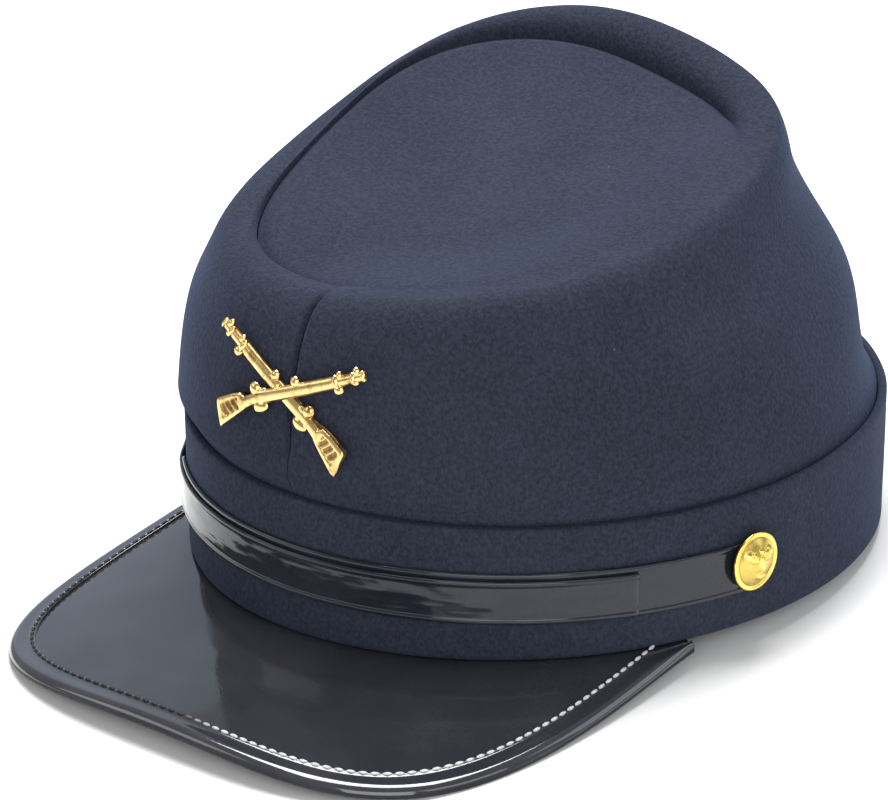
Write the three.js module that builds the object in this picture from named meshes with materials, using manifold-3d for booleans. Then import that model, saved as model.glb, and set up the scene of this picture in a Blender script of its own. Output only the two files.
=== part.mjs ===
// A wool forage cap: a soft crown that leans forward over an upright band, a glossy peak with a bound
// edge, a chin strap of two overlapping lengths, two domed buttons and a badge of crossed rifles.
// Sizes are in millimetres and degrees. The front is -Y, the wearer's left is +X and up is +Z.
import * as THREE from "three";
import { mergeVertices } from "three/addons/utils/BufferGeometryUtils.js";
import Module from "manifold-3d";

const wasm = await Module();
wasm.setup();

const fitGap = 0.3;
const clothWall = 1.8;

// The band's height is given at its middle, and the drops make it lower at the front and at the left.
const band = { halfLength: 97.2, halfWidth: 87.3, height: 37, wall: 2.2, edgeRound: 0.5 };
const bandDrop = { front: 1.6, left: 2.8 };

// The crown's cloth at the front, the sides and the back. Foot is how far the wall stands out from the
// band, crest its greatest height, lean the share of its slope that is straight, inset and depth how far
// the seam of the top lies inside and below the crest.
const crownSections = {
  front: { foot: 0.0, crest: 84.2, lean: 0.23, inset: 3.3, depth: 2.5 },
  left: { foot: -0.6, crest: 97.0, lean: 0.71, inset: 5.0, depth: 3.4 },
  back: { foot: -7.2, crest: 121.4, lean: 0.9, inset: 9.2, depth: 9.8 },
  right: { foot: 1.4, crest: 104.5, lean: 0.66, inset: 2.6, depth: 1.3 },
};
// The crest seen from above is an oval with rounded corners, which the waves of three and four make.
const crest = { halfWidth: 59.3, middleX: 2.9, frontY: -81.9, backY: 55.3, twist: 3.1 };
const crestWaves = { cos3: 0.012, sin3: -0.012, cos4: -0.042 };
const shoulder = 3.35;
const swell = 1.0;
const tuckDepth = 5;
const seamAllowance = 2.3;
const topSag = 3;

// Soft dents in the crown's wall: where each lies round the cap and up the wall, its spread and depth.
const dents = [
  { turn: 128, share: 0.8, turnSpread: 20, shareSpread: 0.18, depth: 2.8 },
  { turn: 128, share: 0.42, turnSpread: 22, shareSpread: 0.22, depth: -2.9 },
  { turn: 95, share: 0.74, turnSpread: 24, shareSpread: 0.18, depth: 1.2 },
  { turn: -60, share: 0.85, turnSpread: 25, shareSpread: 0.15, depth: 1.8 },
  { turn: -110, share: 0.6, turnSpread: 20, shareSpread: 0.22, depth: 1.8 },
];

const peak = { halfWidth: 80.6, startY: -41.7, reach: 104.9, squareness: 3.67, sheet: 1.2 };
const peakSlope = { front: 6.1, side: 22 };
const binding = { width: 6.8, thickness: 0.6, gap: 0.2 };

const strapThickness = 1.0;
const straps = {
  under: { fromTurn: 74.6, toTurn: -40, middleZ: 17.3, width: 13.0 },
  over: { fromTurn: -74.6, toTurn: 56, middleZ: 16.6, width: 11.0 },
};
const strapStep = 9;
const strapDrop = 1.6;

const button = { turn: 75.2, z: 18.7, radius: 7.5, rim: 1.0, dome: 2.6, shank: 1.5, head: 3.2 };

// The badge is stamped flatter than the crown: follow is the share of the crown's curve that it takes.
const badge = { z: 61.3, sideways: -1.5, slide: 0.96, spread: 25.6, tilt: -5.1, follow: 0.25 };
const badgeMetal = { thickness: 1.5, lift: 0.8, bevel: 0.35 };
const badgePost = { at: 10, radius: 0.9, length: 4 };
// The outline of one rifle: the place along it from butt to muzzle, and its upper and lower edges.
const rifleOutline = [
  { at: -24.2, upper: -3.6, lower: -5.4 },
  { at: -23.4, upper: 1.3, lower: -5.3 },
  { at: -15.4, upper: 1.9, lower: -2.6 },
  { at: -14.4, upper: 0.8, lower: -2.2 },
  { at: -12.0, upper: 0.9, lower: -1.8 },
  { at: -11.2, upper: 2.6, lower: -3.2 },
  { at: -9.2, upper: 3.3, lower: -3.5 },
  { at: -8.0, upper: 1.5, lower: -3.3 },
  { at: -7.0, upper: 1.4, lower: -1.5 },
  { at: 1.8, upper: 1.3, lower: -1.4 },
  { at: 2.2, upper: 2.8, lower: -1.4 },
  { at: 4.0, upper: 2.8, lower: -1.4 },
  { at: 4.4, upper: 1.2, lower: -1.3 },
  { at: 14.4, upper: 1.1, lower: -1.2 },
  { at: 14.8, upper: 2.0, lower: -2.6 },
  { at: 16.4, upper: 2.0, lower: -2.6 },
  { at: 16.8, upper: 0.9, lower: -1.0 },
  { at: 20.6, upper: 0.9, lower: -0.9 },
  { at: 21.0, upper: 2.0, lower: -1.2 },
  { at: 22.4, upper: 2.0, lower: -1.2 },
  { at: 22.8, upper: 1.1, lower: -1.0 },
  { at: 24.0, upper: 1.1, lower: -1.0 },
];

const wool = { color: 0x3a4052, roughness: 0.95, metalness: 0 };
const patent = { color: 0x15161a, roughness: 0.15, metalness: 0 };
const brass = { color: 0xd9b05c, roughness: 0.3, metalness: 1 };

// Returns evenly spaced numbers from one end to the other, both ends included.
function steps(from, to, count) {
  return Array.from({ length: count + 1 }, (_, i) => from + ((to - from) * i) / count);
}

// Builds a closed solid from a face of points and the matching face behind it, both given as rows. Rows
// that go around join the last to the first, and otherwise the two ends are closed too.
function solidBetween(face, back, goesAround) {
  const triangles = [];
  const addTriangle = (a, b, c) => {
    if (a.distanceTo(b) > 1e-6 && b.distanceTo(c) > 1e-6 && c.distanceTo(a) > 1e-6) {
      triangles.push(a, b, c);
    }
  };
  const addQuad = (a, b, c, d) => {
    addTriangle(a, b, c);
    addTriangle(a, c, d);
  };
  const last = face[0].length - 1;
  const spans = goesAround ? face.length : face.length - 1;
  for (let i = 0; i < spans; i++) {
    const next = (i + 1) % face.length;
    for (let j = 0; j < last; j++) {
      addQuad(face[i][j], face[next][j], face[next][j + 1], face[i][j + 1]);
      addQuad(back[i][j], back[i][j + 1], back[next][j + 1], back[next][j]);
    }
    addQuad(face[i][0], back[i][0], back[next][0], face[next][0]);
    addQuad(face[i][last], face[next][last], back[next][last], back[i][last]);
  }
  if (!goesAround) {
    const end = face.length - 1;
    for (let j = 0; j < last; j++) {
      addQuad(face[0][j], face[0][j + 1], back[0][j + 1], back[0][j]);
      addQuad(face[end][j], back[end][j], back[end][j + 1], face[end][j + 1]);
    }
  }
  return mergeVertices(new THREE.BufferGeometry().setFromPoints(triangles), 1e-5);
}

// Moves every point of a face along its normal. The face is a function from a place to a row of points.
function movedFace(rowAt, places, distance) {
  const nudge = 0.002;
  return places.map((place) => {
    const row = rowAt(place);
    const before = rowAt(place - nudge);
    const after = rowAt(place + nudge);
    return row.map((point, j) => {
      const across = after[j].clone().sub(before[j]);
      const along = row[Math.min(j + 1, row.length - 1)].clone().sub(row[Math.max(j - 1, 0)]);
      const normal = across.cross(along).normalize();
      return point.clone().addScaledVector(normal, distance);
    });
  });
}

function toManifold(geometry) {
  const bare = geometry.clone();
  bare.deleteAttribute("normal");
  bare.deleteAttribute("uv");
  const merged = mergeVertices(bare, 1e-5);
  return new wasm.Manifold(new wasm.Mesh({
    numProp: 3,
    vertProperties: new Float32Array(merged.getAttribute("position").array),
    triVerts: new Uint32Array(merged.getIndex().array),
  }));
}

function toGeometry(solid) {
  const mesh = solid.getMesh();
  const geometry = new THREE.BufferGeometry();
  geometry.setAttribute("position", new THREE.BufferAttribute(mesh.vertProperties, 3));
  geometry.setIndex(new THREE.BufferAttribute(mesh.triVerts, 1));
  return geometry;
}

function cut(geometry, tools) {
  return toGeometry(tools.reduce((solid, tool) => solid.subtract(toManifold(tool)), toManifold(geometry)));
}

function join(geometries) {
  return toGeometry(geometries.map(toManifold).reduce((solid, other) => solid.add(other)));
}

function piece(name, geometry, finish) {
  const mesh = new THREE.Mesh(geometry, new THREE.MeshStandardMaterial(finish));
  mesh.name = name;
  mesh.material.name = `${name}_finish`;
  return mesh;
}

// A turn is an angle round the cap in radians, 0 at the front and positive to the wearer's left.
function bandOutward(turn) {
  const outward = new THREE.Vector3(Math.sin(turn) / band.halfWidth, -Math.cos(turn) / band.halfLength, 0);
  return outward.normalize();
}

function bandPoint(turn, out, z) {
  const x = band.halfWidth * Math.sin(turn);
  const y = -band.halfLength * Math.cos(turn);
  return new THREE.Vector3(x, y, z).addScaledVector(bandOutward(turn), out);
}

function bandHeight(turn) {
  return band.height - bandDrop.front * Math.cos(turn) - bandDrop.left * Math.sin(turn);
}

// Blends a column of the crown's sections round the cap. A radius below 1 flattens the blend inward.
function byTurn(turn, column, radius = 1) {
  const sides = [crownSections.front, crownSections.left, crownSections.back, crownSections.right];
  const [front, left, back, right] = sides.map((section) => section[column]);
  const saddle = (front + back - left - right) / 4;
  const middle = (front + back + left + right) / 4;
  const along = ((front - back) / 2) * radius * Math.cos(turn);
  const across = ((left - right) / 2) * radius * Math.sin(turn);
  return middle + along + across + saddle * radius ** 2 * Math.cos(2 * turn);
}

function crestHeight(turn, radius = 1) {
  return byTurn(turn, "crest", radius) + crest.twist * radius ** 2 * Math.sin(2 * turn);
}

// A place on an oval with the crest's rounded corners, given by its four sides.
function ovalPoint(turn, share, { leftX, rightX, frontY, backY }, z) {
  const threes = crestWaves.cos3 * Math.cos(3 * turn) + crestWaves.sin3 * Math.sin(3 * turn);
  const reach = (1 + threes + crestWaves.cos4 * Math.cos(4 * turn)) * share;
  const x = (leftX + rightX) / 2 + ((leftX - rightX) / 2) * reach * Math.sin(turn);
  const y = (frontY + backY) / 2 - ((backY - frontY) / 2) * reach * Math.cos(turn);
  return new THREE.Vector3(x, y, z);
}

// The sides of the crest, or of the top if the cloth's insets are taken off.
function ovalSides(insetShare, shrink) {
  return {
    leftX: crest.middleX + crest.halfWidth - crownSections.left.inset * insetShare - shrink,
    rightX: crest.middleX - crest.halfWidth + crownSections.right.inset * insetShare + shrink,
    frontY: crest.frontY + crownSections.front.inset * insetShare + shrink,
    backY: crest.backY - crownSections.back.inset * insetShare - shrink,
  };
}

function crestPoint(turn) {
  return ovalPoint(turn, 1, ovalSides(0, 0), crestHeight(turn));
}

// A place on the top at a share of the way from its middle to its seam.
function topPoint(turn, share, shrink) {
  const z = crestHeight(turn, share) - byTurn(turn, "depth", share) - topSag * (1 - share ** 2);
  return ovalPoint(turn, share, ovalSides(1, shrink), z);
}

function dentDepth(turn, share) {
  return dents.reduce((sum, dent) => {
    const round = THREE.MathUtils.radToDeg(turn) - dent.turn;
    const apart = THREE.MathUtils.euclideanModulo(round + 180, 360) - 180;
    const place = (apart / dent.turnSpread) ** 2 + ((share - dent.share) / dent.shareSpread) ** 2;
    return sum + dent.depth * Math.exp(-place);
  }, 0);
}

// A place on the crown's wall at a share of its height, 0 at the band and 1 at the crest.
function wallPoint(turn, share) {
  const foot = bandPoint(turn, byTurn(turn, "foot"), bandHeight(turn));
  const top = crestPoint(turn);
  const lean = byTurn(turn, "lean");
  const roll = 1 - (1 - share ** shoulder) ** (1 / shoulder);
  const inward = lean * share + (1 - lean) * roll;
  const middle = Math.max(0, Math.sin(Math.PI * share));
  const bulge = swell * middle - dentDepth(turn, share) * Math.sqrt(middle);
  const point = new THREE.Vector3(
    THREE.MathUtils.lerp(foot.x, top.x, inward),
    THREE.MathUtils.lerp(foot.y, top.y, inward),
    THREE.MathUtils.lerp(foot.z, top.z, share),
  );
  return point.addScaledVector(bandOutward(turn), bulge);
}

// A place on the cloth that turns from the crest down to the seam of the top.
function rimPoint(turn, share) {
  const quarter = (Math.PI / 2) * share;
  const crestAt = crestPoint(turn);
  const seamAt = topPoint(turn, 1, 0);
  const inward = Math.sin(quarter);
  return new THREE.Vector3(
    THREE.MathUtils.lerp(crestAt.x, seamAt.x, inward),
    THREE.MathUtils.lerp(crestAt.y, seamAt.y, inward),
    THREE.MathUtils.lerp(seamAt.z, crestAt.z, Math.cos(quarter)),
  );
}

const tuckRises = [-tuckDepth, 0.2];
const wallShares = [0.03, 0.11, 0.24, 0.38, 0.52, 0.66, 0.79, 0.89, 0.955, 0.99, 1];
const rimShares = [0.35, 0.7, 1];

function crownRow(turn) {
  const tuck = tuckRises.map((rise) => bandPoint(turn, -band.wall - fitGap, bandHeight(turn) + rise));
  const wall = wallShares.map((share) => wallPoint(turn, share));
  const rim = rimShares.map((share) => rimPoint(turn, share));
  const allowance = rimPoint(turn, 1).setZ(rimPoint(turn, 1).z - seamAllowance);
  return [...tuck, ...wall, ...rim, allowance];
}

function crownPanel(fromTurn) {
  const turns = steps(fromTurn, fromTurn + Math.PI, 32);
  return solidBetween(movedFace(crownRow, turns, 0), movedFace(crownRow, turns, -clothWall), false);
}

function crownTop() {
  const shares = [1, 0.8, 0.6, 0.4, 0.2, 0];
  const turns = steps(-Math.PI, Math.PI, 48).slice(1);
  const face = turns.map((turn) => shares.map((share) => topPoint(turn, share, fitGap)));
  const under = face.map((row) => row.map((point) => point.clone().setZ(point.z - clothWall)));
  return solidBetween(face, under, true);
}

function headBand() {
  const { wall, edgeRound } = band;
  const turns = steps(-Math.PI, Math.PI, 72).slice(1);
  const rows = (lower, upper) => turns.map((turn) => [
    bandPoint(turn, lower, 0),
    bandPoint(turn, lower, bandHeight(turn) - edgeRound),
    bandPoint(turn, upper, bandHeight(turn)),
  ]);
  return solidBetween(rows(0, -edgeRound), rows(-wall, edgeRound - wall), true);
}

// The peak's outline from above, at an angle from -90 to 90 degrees round the middle of its back.
function peakOutline(angle, inset) {
  const { halfWidth, startY, reach, squareness } = peak;
  const place = (at) => {
    const wide = Math.abs(Math.sin(at) / halfWidth) ** squareness;
    const long = Math.abs(Math.cos(at) / reach) ** squareness;
    const radius = (wide + long) ** (-1 / squareness);
    return new THREE.Vector3(radius * Math.sin(at), startY - radius * Math.cos(at), 0);
  };
  const along = place(angle + 0.002).sub(place(angle - 0.002)).normalize();
  const inward = new THREE.Vector3(-along.y, along.x, 0);
  return { point: place(angle).addScaledVector(inward, inset), inward };
}

// Lifts a place seen from above onto the upper face of the peak, which falls away from the band, and
// more so at its sides.
function ontoPeak(plan) {
  const size = Math.hypot(plan.x / band.halfWidth, plan.y / band.halfLength);
  const beyond = Math.max(0, plan.length() * (1 - 1 / size));
  const sideShare = (plan.x / band.halfWidth / size) ** 2;
  const slope = THREE.MathUtils.lerp(peakSlope.front, peakSlope.side, sideShare);
  const fall = Math.tan(THREE.MathUtils.degToRad(slope)) * beyond;
  return new THREE.Vector3(plan.x, plan.y, -fitGap - fall);
}

const peakEndTurn = Math.acos(-peak.startY / band.halfLength);
const peakAngles = steps(-Math.PI / 2, Math.PI / 2, 40);

function peakRow(angle) {
  const turn = (angle * peakEndTurn) / (Math.PI / 2);
  const edgeInset = binding.thickness + binding.gap + 0.15;
  const seat = bandPoint(turn, -band.wall, 0);
  const root = bandPoint(turn, 0, 0);
  const edge = peakOutline(angle, edgeInset).point;
  const sloping = steps(0, 1, 5).map((share) => root.clone().lerp(edge, share));
  return [seat, ...sloping].map(ontoPeak).reverse();
}

function peakSheet() {
  return solidBetween(movedFace(peakRow, peakAngles, 0), movedFace(peakRow, peakAngles, -peak.sheet), false);
}

// One cross-section of the binding, which folds over the peak's edge and stops short of the band.
function bindingRow(angle, isOuter) {
  const { width, thickness, gap } = binding;
  const { point, inward } = peakOutline(angle, 0);
  const turn = Math.atan2(point.x / band.halfWidth, -point.y / band.halfLength);
  const room = point.clone().sub(bandPoint(turn, 0, 0)).dot(inward.clone().negate());
  const reach = Math.min(width, room - 2 * fitGap);
  const top = gap + (isOuter ? thickness : 0);
  const bottom = -peak.sheet - top;
  const skin = isOuter ? 0 : thickness;
  const corner = isOuter ? 0.35 : 0.2;
  const section = [
    [reach, bottom],
    [skin + 1.0, bottom],
    [skin + 0.25, bottom + corner],
    [skin, -peak.sheet / 2],
    [skin + 0.25, top - corner],
    [skin + 1.0, top],
    [reach, top],
  ];
  return section.map(([inset, height]) => {
    const onPeak = ontoPeak(point.clone().addScaledVector(inward, inset));
    return onPeak.setZ(onPeak.z + height);
  });
}

function peakBinding() {
  const outer = peakAngles.map((angle) => bindingRow(angle, true));
  const inner = peakAngles.map((angle) => bindingRow(angle, false));
  return solidBetween(outer, inner, false);
}

// A strap length on the band from its round end at a button to its square end across the front.
function strapLength(strap, liftAt) {
  const from = THREE.MathUtils.degToRad(strap.fromTurn);
  const to = THREE.MathUtils.degToRad(strap.toTurn);
  const sense = Math.sign(to - from);
  const radius = strap.width / 2;
  const middleRadius = (band.halfLength + band.halfWidth) / 2;
  const endStations = [-0.97, -0.8, -0.5, 0].map((share) => ({
    turn: from + (sense * share * radius) / middleRadius,
    half: radius * Math.sqrt(1 - share ** 2),
  }));
  const mainStations = steps(from, to, 44).slice(1).map((turn) => ({ turn, half: radius }));
  const stations = [...endStations, ...mainStations];
  const ordered = sense > 0 ? stations : stations.reverse();
  const faceAt = (depth) => ordered.map(({ turn, half }) => {
    const out = liftAt(THREE.MathUtils.radToDeg(turn)) + depth;
    const middleZ = strap.middleZ - strapDrop * Math.sin(turn);
    return [-half, half].map((up) => bandPoint(turn, out, middleZ + up));
  });
  return solidBetween(faceAt(strapThickness), faceAt(0), false);
}

function underLift() {
  return fitGap;
}

// The over strap lies on the under strap and steps down to the band beyond its end.
function overLift(turn) {
  const raised = THREE.MathUtils.smoothstep(turn, straps.under.toTurn - strapStep, straps.under.toTurn - 1.5);
  return fitGap + raised * (strapThickness + fitGap);
}

// Turns a shape that was made along Y so that Y points out of the band at a turn.
function ontoBand(geometry, turn) {
  const outward = bandOutward(turn);
  const upright = new THREE.Quaternion().setFromUnitVectors(new THREE.Vector3(0, 1, 0), outward);
  const foot = bandPoint(turn, 0, button.z - strapDrop * Math.sin(turn));
  return geometry.applyQuaternion(upright).translate(foot.x, foot.y, foot.z);
}

function buttonShape(turn) {
  const { radius, rim, dome, shank, head } = button;
  const back = 2 * fitGap + strapThickness;
  const inside = -band.wall - fitGap;
  const domeProfile = [0.86, 0.68, 0.46, 0.24].map((share) => {
    return new THREE.Vector2(radius * share, back + rim + dome * (1 - share ** 2));
  });
  const profile = [
    new THREE.Vector2(0, inside - 1),
    new THREE.Vector2(head, inside - 1),
    new THREE.Vector2(head, inside),
    new THREE.Vector2(shank, inside),
    new THREE.Vector2(shank, back),
    new THREE.Vector2(radius - 0.4, back),
    new THREE.Vector2(radius, back + rim / 2),
    new THREE.Vector2(radius - 0.4, back + rim),
    ...domeProfile,
    new THREE.Vector2(0, back + rim + dome),
  ];
  return ontoBand(new THREE.LatheGeometry(profile, 24), turn);
}

function shankHole(turn) {
  const hole = new THREE.CylinderGeometry(button.shank + fitGap, button.shank + fitGap, 16, 16);
  return ontoBand(hole, turn);
}

// Finds the turn and share on the crown's wall for a place on the badge, measured from the seam.
const badgeShare = (badge.z - bandHeight(0)) / (crestHeight(0) - bandHeight(0));
const turnPerMm = 0.01 / wallPoint(0.01, badgeShare).distanceTo(wallPoint(0, badgeShare));
const sharePerMm = 0.01 / wallPoint(0, badgeShare + 0.01).distanceTo(wallPoint(0, badgeShare));

// A place on the crown's wall, and the directions across, up and out of it.
function wallFrame(turn, share) {
  const point = wallPoint(turn, share);
  const across = wallPoint(turn + 0.005, share).sub(wallPoint(turn - 0.005, share)).normalize();
  const upward = wallPoint(turn, share + 0.005).sub(wallPoint(turn, share - 0.005)).normalize();
  return { point, across, upward, outward: across.clone().cross(upward).normalize() };
}

// The back of the badge at a place on it, and the direction out of it, between flat and the crown's curve.
function badgeGround(right, up) {
  const middle = wallFrame(badge.sideways * turnPerMm, badgeShare);
  const under = wallFrame((badge.sideways + right) * turnPerMm, badgeShare + up * sharePerMm);
  const flat = middle.point.addScaledVector(middle.across, right).addScaledVector(middle.upward, up);
  const outward = middle.outward.lerp(under.outward, badge.follow).normalize();
  return { point: flat.lerp(under.point, badge.follow), outward };
}

// One rifle laid over the crown with its muzzle up and to a side, 1 for the right and -1 for the left.
function rifle(side, bottom, top) {
  const angle = THREE.MathUtils.degToRad(side * badge.spread + badge.tilt);
  const placed = rifleOutline.map((row) => ({ ...row, at: side * (row.at + badge.slide) }));
  const stations = placed.sort((a, b) => a.at - b.at);
  const { bevel } = badgeMetal;
  const faceAt = (edgeHeight, middleHeight) => stations.map(({ at, upper, lower }) => {
    const across = [lower, lower + bevel, upper - bevel, upper];
    return across.map((offset, j) => {
      const right = at * Math.cos(angle) - offset * Math.sin(angle);
      const up = at * Math.sin(angle) + offset * Math.cos(angle);
      const { point, outward } = badgeGround(right, up);
      const height = j === 0 || j === 3 ? edgeHeight : middleHeight;
      return point.addScaledVector(outward, fitGap + height);
    });
  });
  return solidBetween(faceAt(top - bevel, top), faceAt(bottom, bottom), false);
}

// The posts stand behind the rifle that lies over the other, one on each side of the seam.
function badgePosts(radius) {
  const angle = THREE.MathUtils.degToRad(badge.spread + badge.tilt);
  return [-badgePost.at, badgePost.at].map((at) => {
    const { point, outward } = badgeGround(at * Math.cos(angle), at * Math.sin(angle));
    const post = new THREE.CylinderGeometry(radius, radius, badgePost.length, 12);
    post.applyQuaternion(new THREE.Quaternion().setFromUnitVectors(new THREE.Vector3(0, 1, 0), outward));
    const middle = point.addScaledVector(outward, 1 - badgePost.length / 2);
    return post.translate(middle.x, middle.y, middle.z);
  });
}

// Two crossed rifles, the second raised to lie over the first, and the posts behind them.
function badgeShape() {
  const { thickness, lift } = badgeMetal;
  const rifles = [rifle(-1, 0, thickness), rifle(1, lift / 2, thickness + lift)];
  return join([...rifles, ...badgePosts(badgePost.radius)]);
}

// The angle that lays both the edge of the peak and the back of the band on the floor.
function restingTilt(edge) {
  const places = edge.getAttribute("position");
  const tilts = steps(0, places.count - 1, places.count - 1).map((i) => {
    return Math.atan2(-places.getZ(i), band.halfLength - places.getY(i));
  });
  return Math.max(...tilts);
}

const leftTurn = THREE.MathUtils.degToRad(button.turn);
const postHoles = badgePosts(badgePost.radius + fitGap);
const leftPanel = cut(crownPanel(0), postHoles);
const rightPanel = cut(crownPanel(-Math.PI), postHoles);
leftPanel.translate(fitGap / 2, 0, 0);
rightPanel.translate(-fitGap / 2, 0, 0);
const edgeStrip = peakBinding();

const cap = new THREE.Group();
cap.name = "forage_cap";
cap.add(
  piece("crown_left", leftPanel, wool),
  piece("crown_right", rightPanel, wool),
  piece("crown_top", crownTop(), wool),
  piece("band", cut(headBand(), [shankHole(leftTurn), shankHole(-leftTurn)]), wool),
  piece("peak", peakSheet(), patent),
  piece("peak_binding", edgeStrip, patent),
  piece("strap_under", cut(strapLength(straps.under, underLift), [shankHole(leftTurn)]), patent),
  piece("strap_over", cut(strapLength(straps.over, overLift), [shankHole(-leftTurn)]), patent),
  piece("button_left", buttonShape(leftTurn), brass),
  piece("button_right", buttonShape(-leftTurn), brass),
  piece("badge", badgeShape(), brass),
);

// The cap rests by itself, with the middle of the floor under it at the origin.
cap.rotation.x = -restingTilt(edgeStrip);
cap.updateMatrixWorld(true);
const box = new THREE.Box3().setFromObject(cap, true);
cap.position.set(-(box.min.x + box.max.x) / 2, -(box.min.y + box.max.y) / 2, -box.min.z);

export default cap;
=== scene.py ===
"""Dresses a wool forage cap: brushed wool crown and band, patent peak and chin strap, brass trim."""

from __future__ import annotations

import logging
import math
from dataclasses import dataclass, field
from enum import Enum
from typing import Callable, Sequence

import bmesh
import bpy
from mathutils import Matrix, Vector, noise


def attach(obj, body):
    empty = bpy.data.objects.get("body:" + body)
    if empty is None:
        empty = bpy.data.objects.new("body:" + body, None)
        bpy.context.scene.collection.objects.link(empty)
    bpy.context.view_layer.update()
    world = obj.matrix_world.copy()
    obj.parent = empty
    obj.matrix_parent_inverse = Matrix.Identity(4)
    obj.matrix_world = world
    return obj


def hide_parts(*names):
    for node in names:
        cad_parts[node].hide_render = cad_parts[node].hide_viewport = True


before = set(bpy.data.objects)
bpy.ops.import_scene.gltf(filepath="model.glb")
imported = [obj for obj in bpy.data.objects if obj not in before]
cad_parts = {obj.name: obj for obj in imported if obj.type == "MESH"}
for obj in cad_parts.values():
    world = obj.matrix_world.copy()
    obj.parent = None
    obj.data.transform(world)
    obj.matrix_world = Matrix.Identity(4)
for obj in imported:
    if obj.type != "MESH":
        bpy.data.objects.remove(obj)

LOG = logging.getLogger("forage_cap")
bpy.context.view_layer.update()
METRES_IN_MM = 0.001
UP = Vector((0.0, 0.0, 1.0))
Color = tuple[float, float, float]
Range = tuple[float, float]
Material = bpy.types.Material
Mesh = bmesh.types.BMesh
Place = Callable[[float, float], Vector]


def lerp(start: float, end: float, share: float) -> float:
    """Returns the number at a share of the way between two numbers."""
    return start + (end - start) * share


def smooth_step(low: float, high: float, value: float) -> float:
    """Returns a soft step that is 0 below low and 1 above high."""
    share = min(max((value - low) / (high - low), 0.0), 1.0)
    return share * share * (3.0 - 2.0 * share)


def degrees_apart(turn: float, degrees: float) -> float:
    """Returns how far a turn in radians is past an angle in degrees, from -180 to 180 degrees."""
    return (math.degrees(turn) - degrees + 180.0) % 360.0 - 180.0


class Side(Enum):
    """The two sides of the cap, as the wearer has them."""

    LEFT = 1
    RIGHT = -1

    @property
    def label(self) -> str:
        """The side's name in lower case."""
        return self.name.lower()


class Value:
    """A shader value that Python arithmetic can use."""

    def __init__(self, shader: Shader, socket: bpy.types.NodeSocket) -> None:
        """Wraps an output socket.

        Args:
            shader: The shader that the socket belongs to.
            socket: The output socket.
        """
        self.shader = shader
        self.socket = socket

    def _math(self, operation: str, *operands: Value | float) -> Value:
        """Adds a Math node.

        Args:
            operation: The Math node's operation.
            operands: Its inputs in order.

        Returns:
            The node's result.
        """
        inputs = dict(enumerate(operands))
        return self.shader.node("ShaderNodeMath", {"operation": operation}, inputs).value(0)

    def __add__(self, other: Value | float) -> Value:
        """Adds."""
        return self._math("ADD", self, other)

    __radd__ = __add__

    def __rsub__(self, other: float) -> Value:
        """Subtracts this value from a number."""
        return self._math("SUBTRACT", other, self)

    def __mul__(self, other: Value | float) -> Value:
        """Multiplies."""
        return self._math("MULTIPLY", self, other)

    __rmul__ = __mul__

    def clamped(self) -> Value:
        """Limits the value to the range from 0 to 1."""
        return self._math("MINIMUM", self._math("MAXIMUM", self, 0.0), 1.0)

    def above(self, low: float, high: float) -> Value:
        """Returns a soft step of this value.

        Args:
            low: The value at which the step is 0.
            high: The value at which it is 1.

        Returns:
            The step.
        """
        settings = {"interpolation_type": "SMOOTHSTEP"}
        inputs = {"Value": self, "From Min": low, "From Max": high}
        return self.shader.node("ShaderNodeMapRange", settings, inputs).value("Result")


class NodeHandle:
    """A node of a shader, with its outputs as values."""

    def __init__(self, shader: Shader, node: bpy.types.Node) -> None:
        """Wraps a node.

        Args:
            shader: The shader that the node is in.
            node: The node.
        """
        self.shader = shader
        self.node = node

    def value(self, output: int | str) -> Value:
        """Returns one of the node's outputs."""
        return Value(self.shader, self.node.outputs[output])


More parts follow.
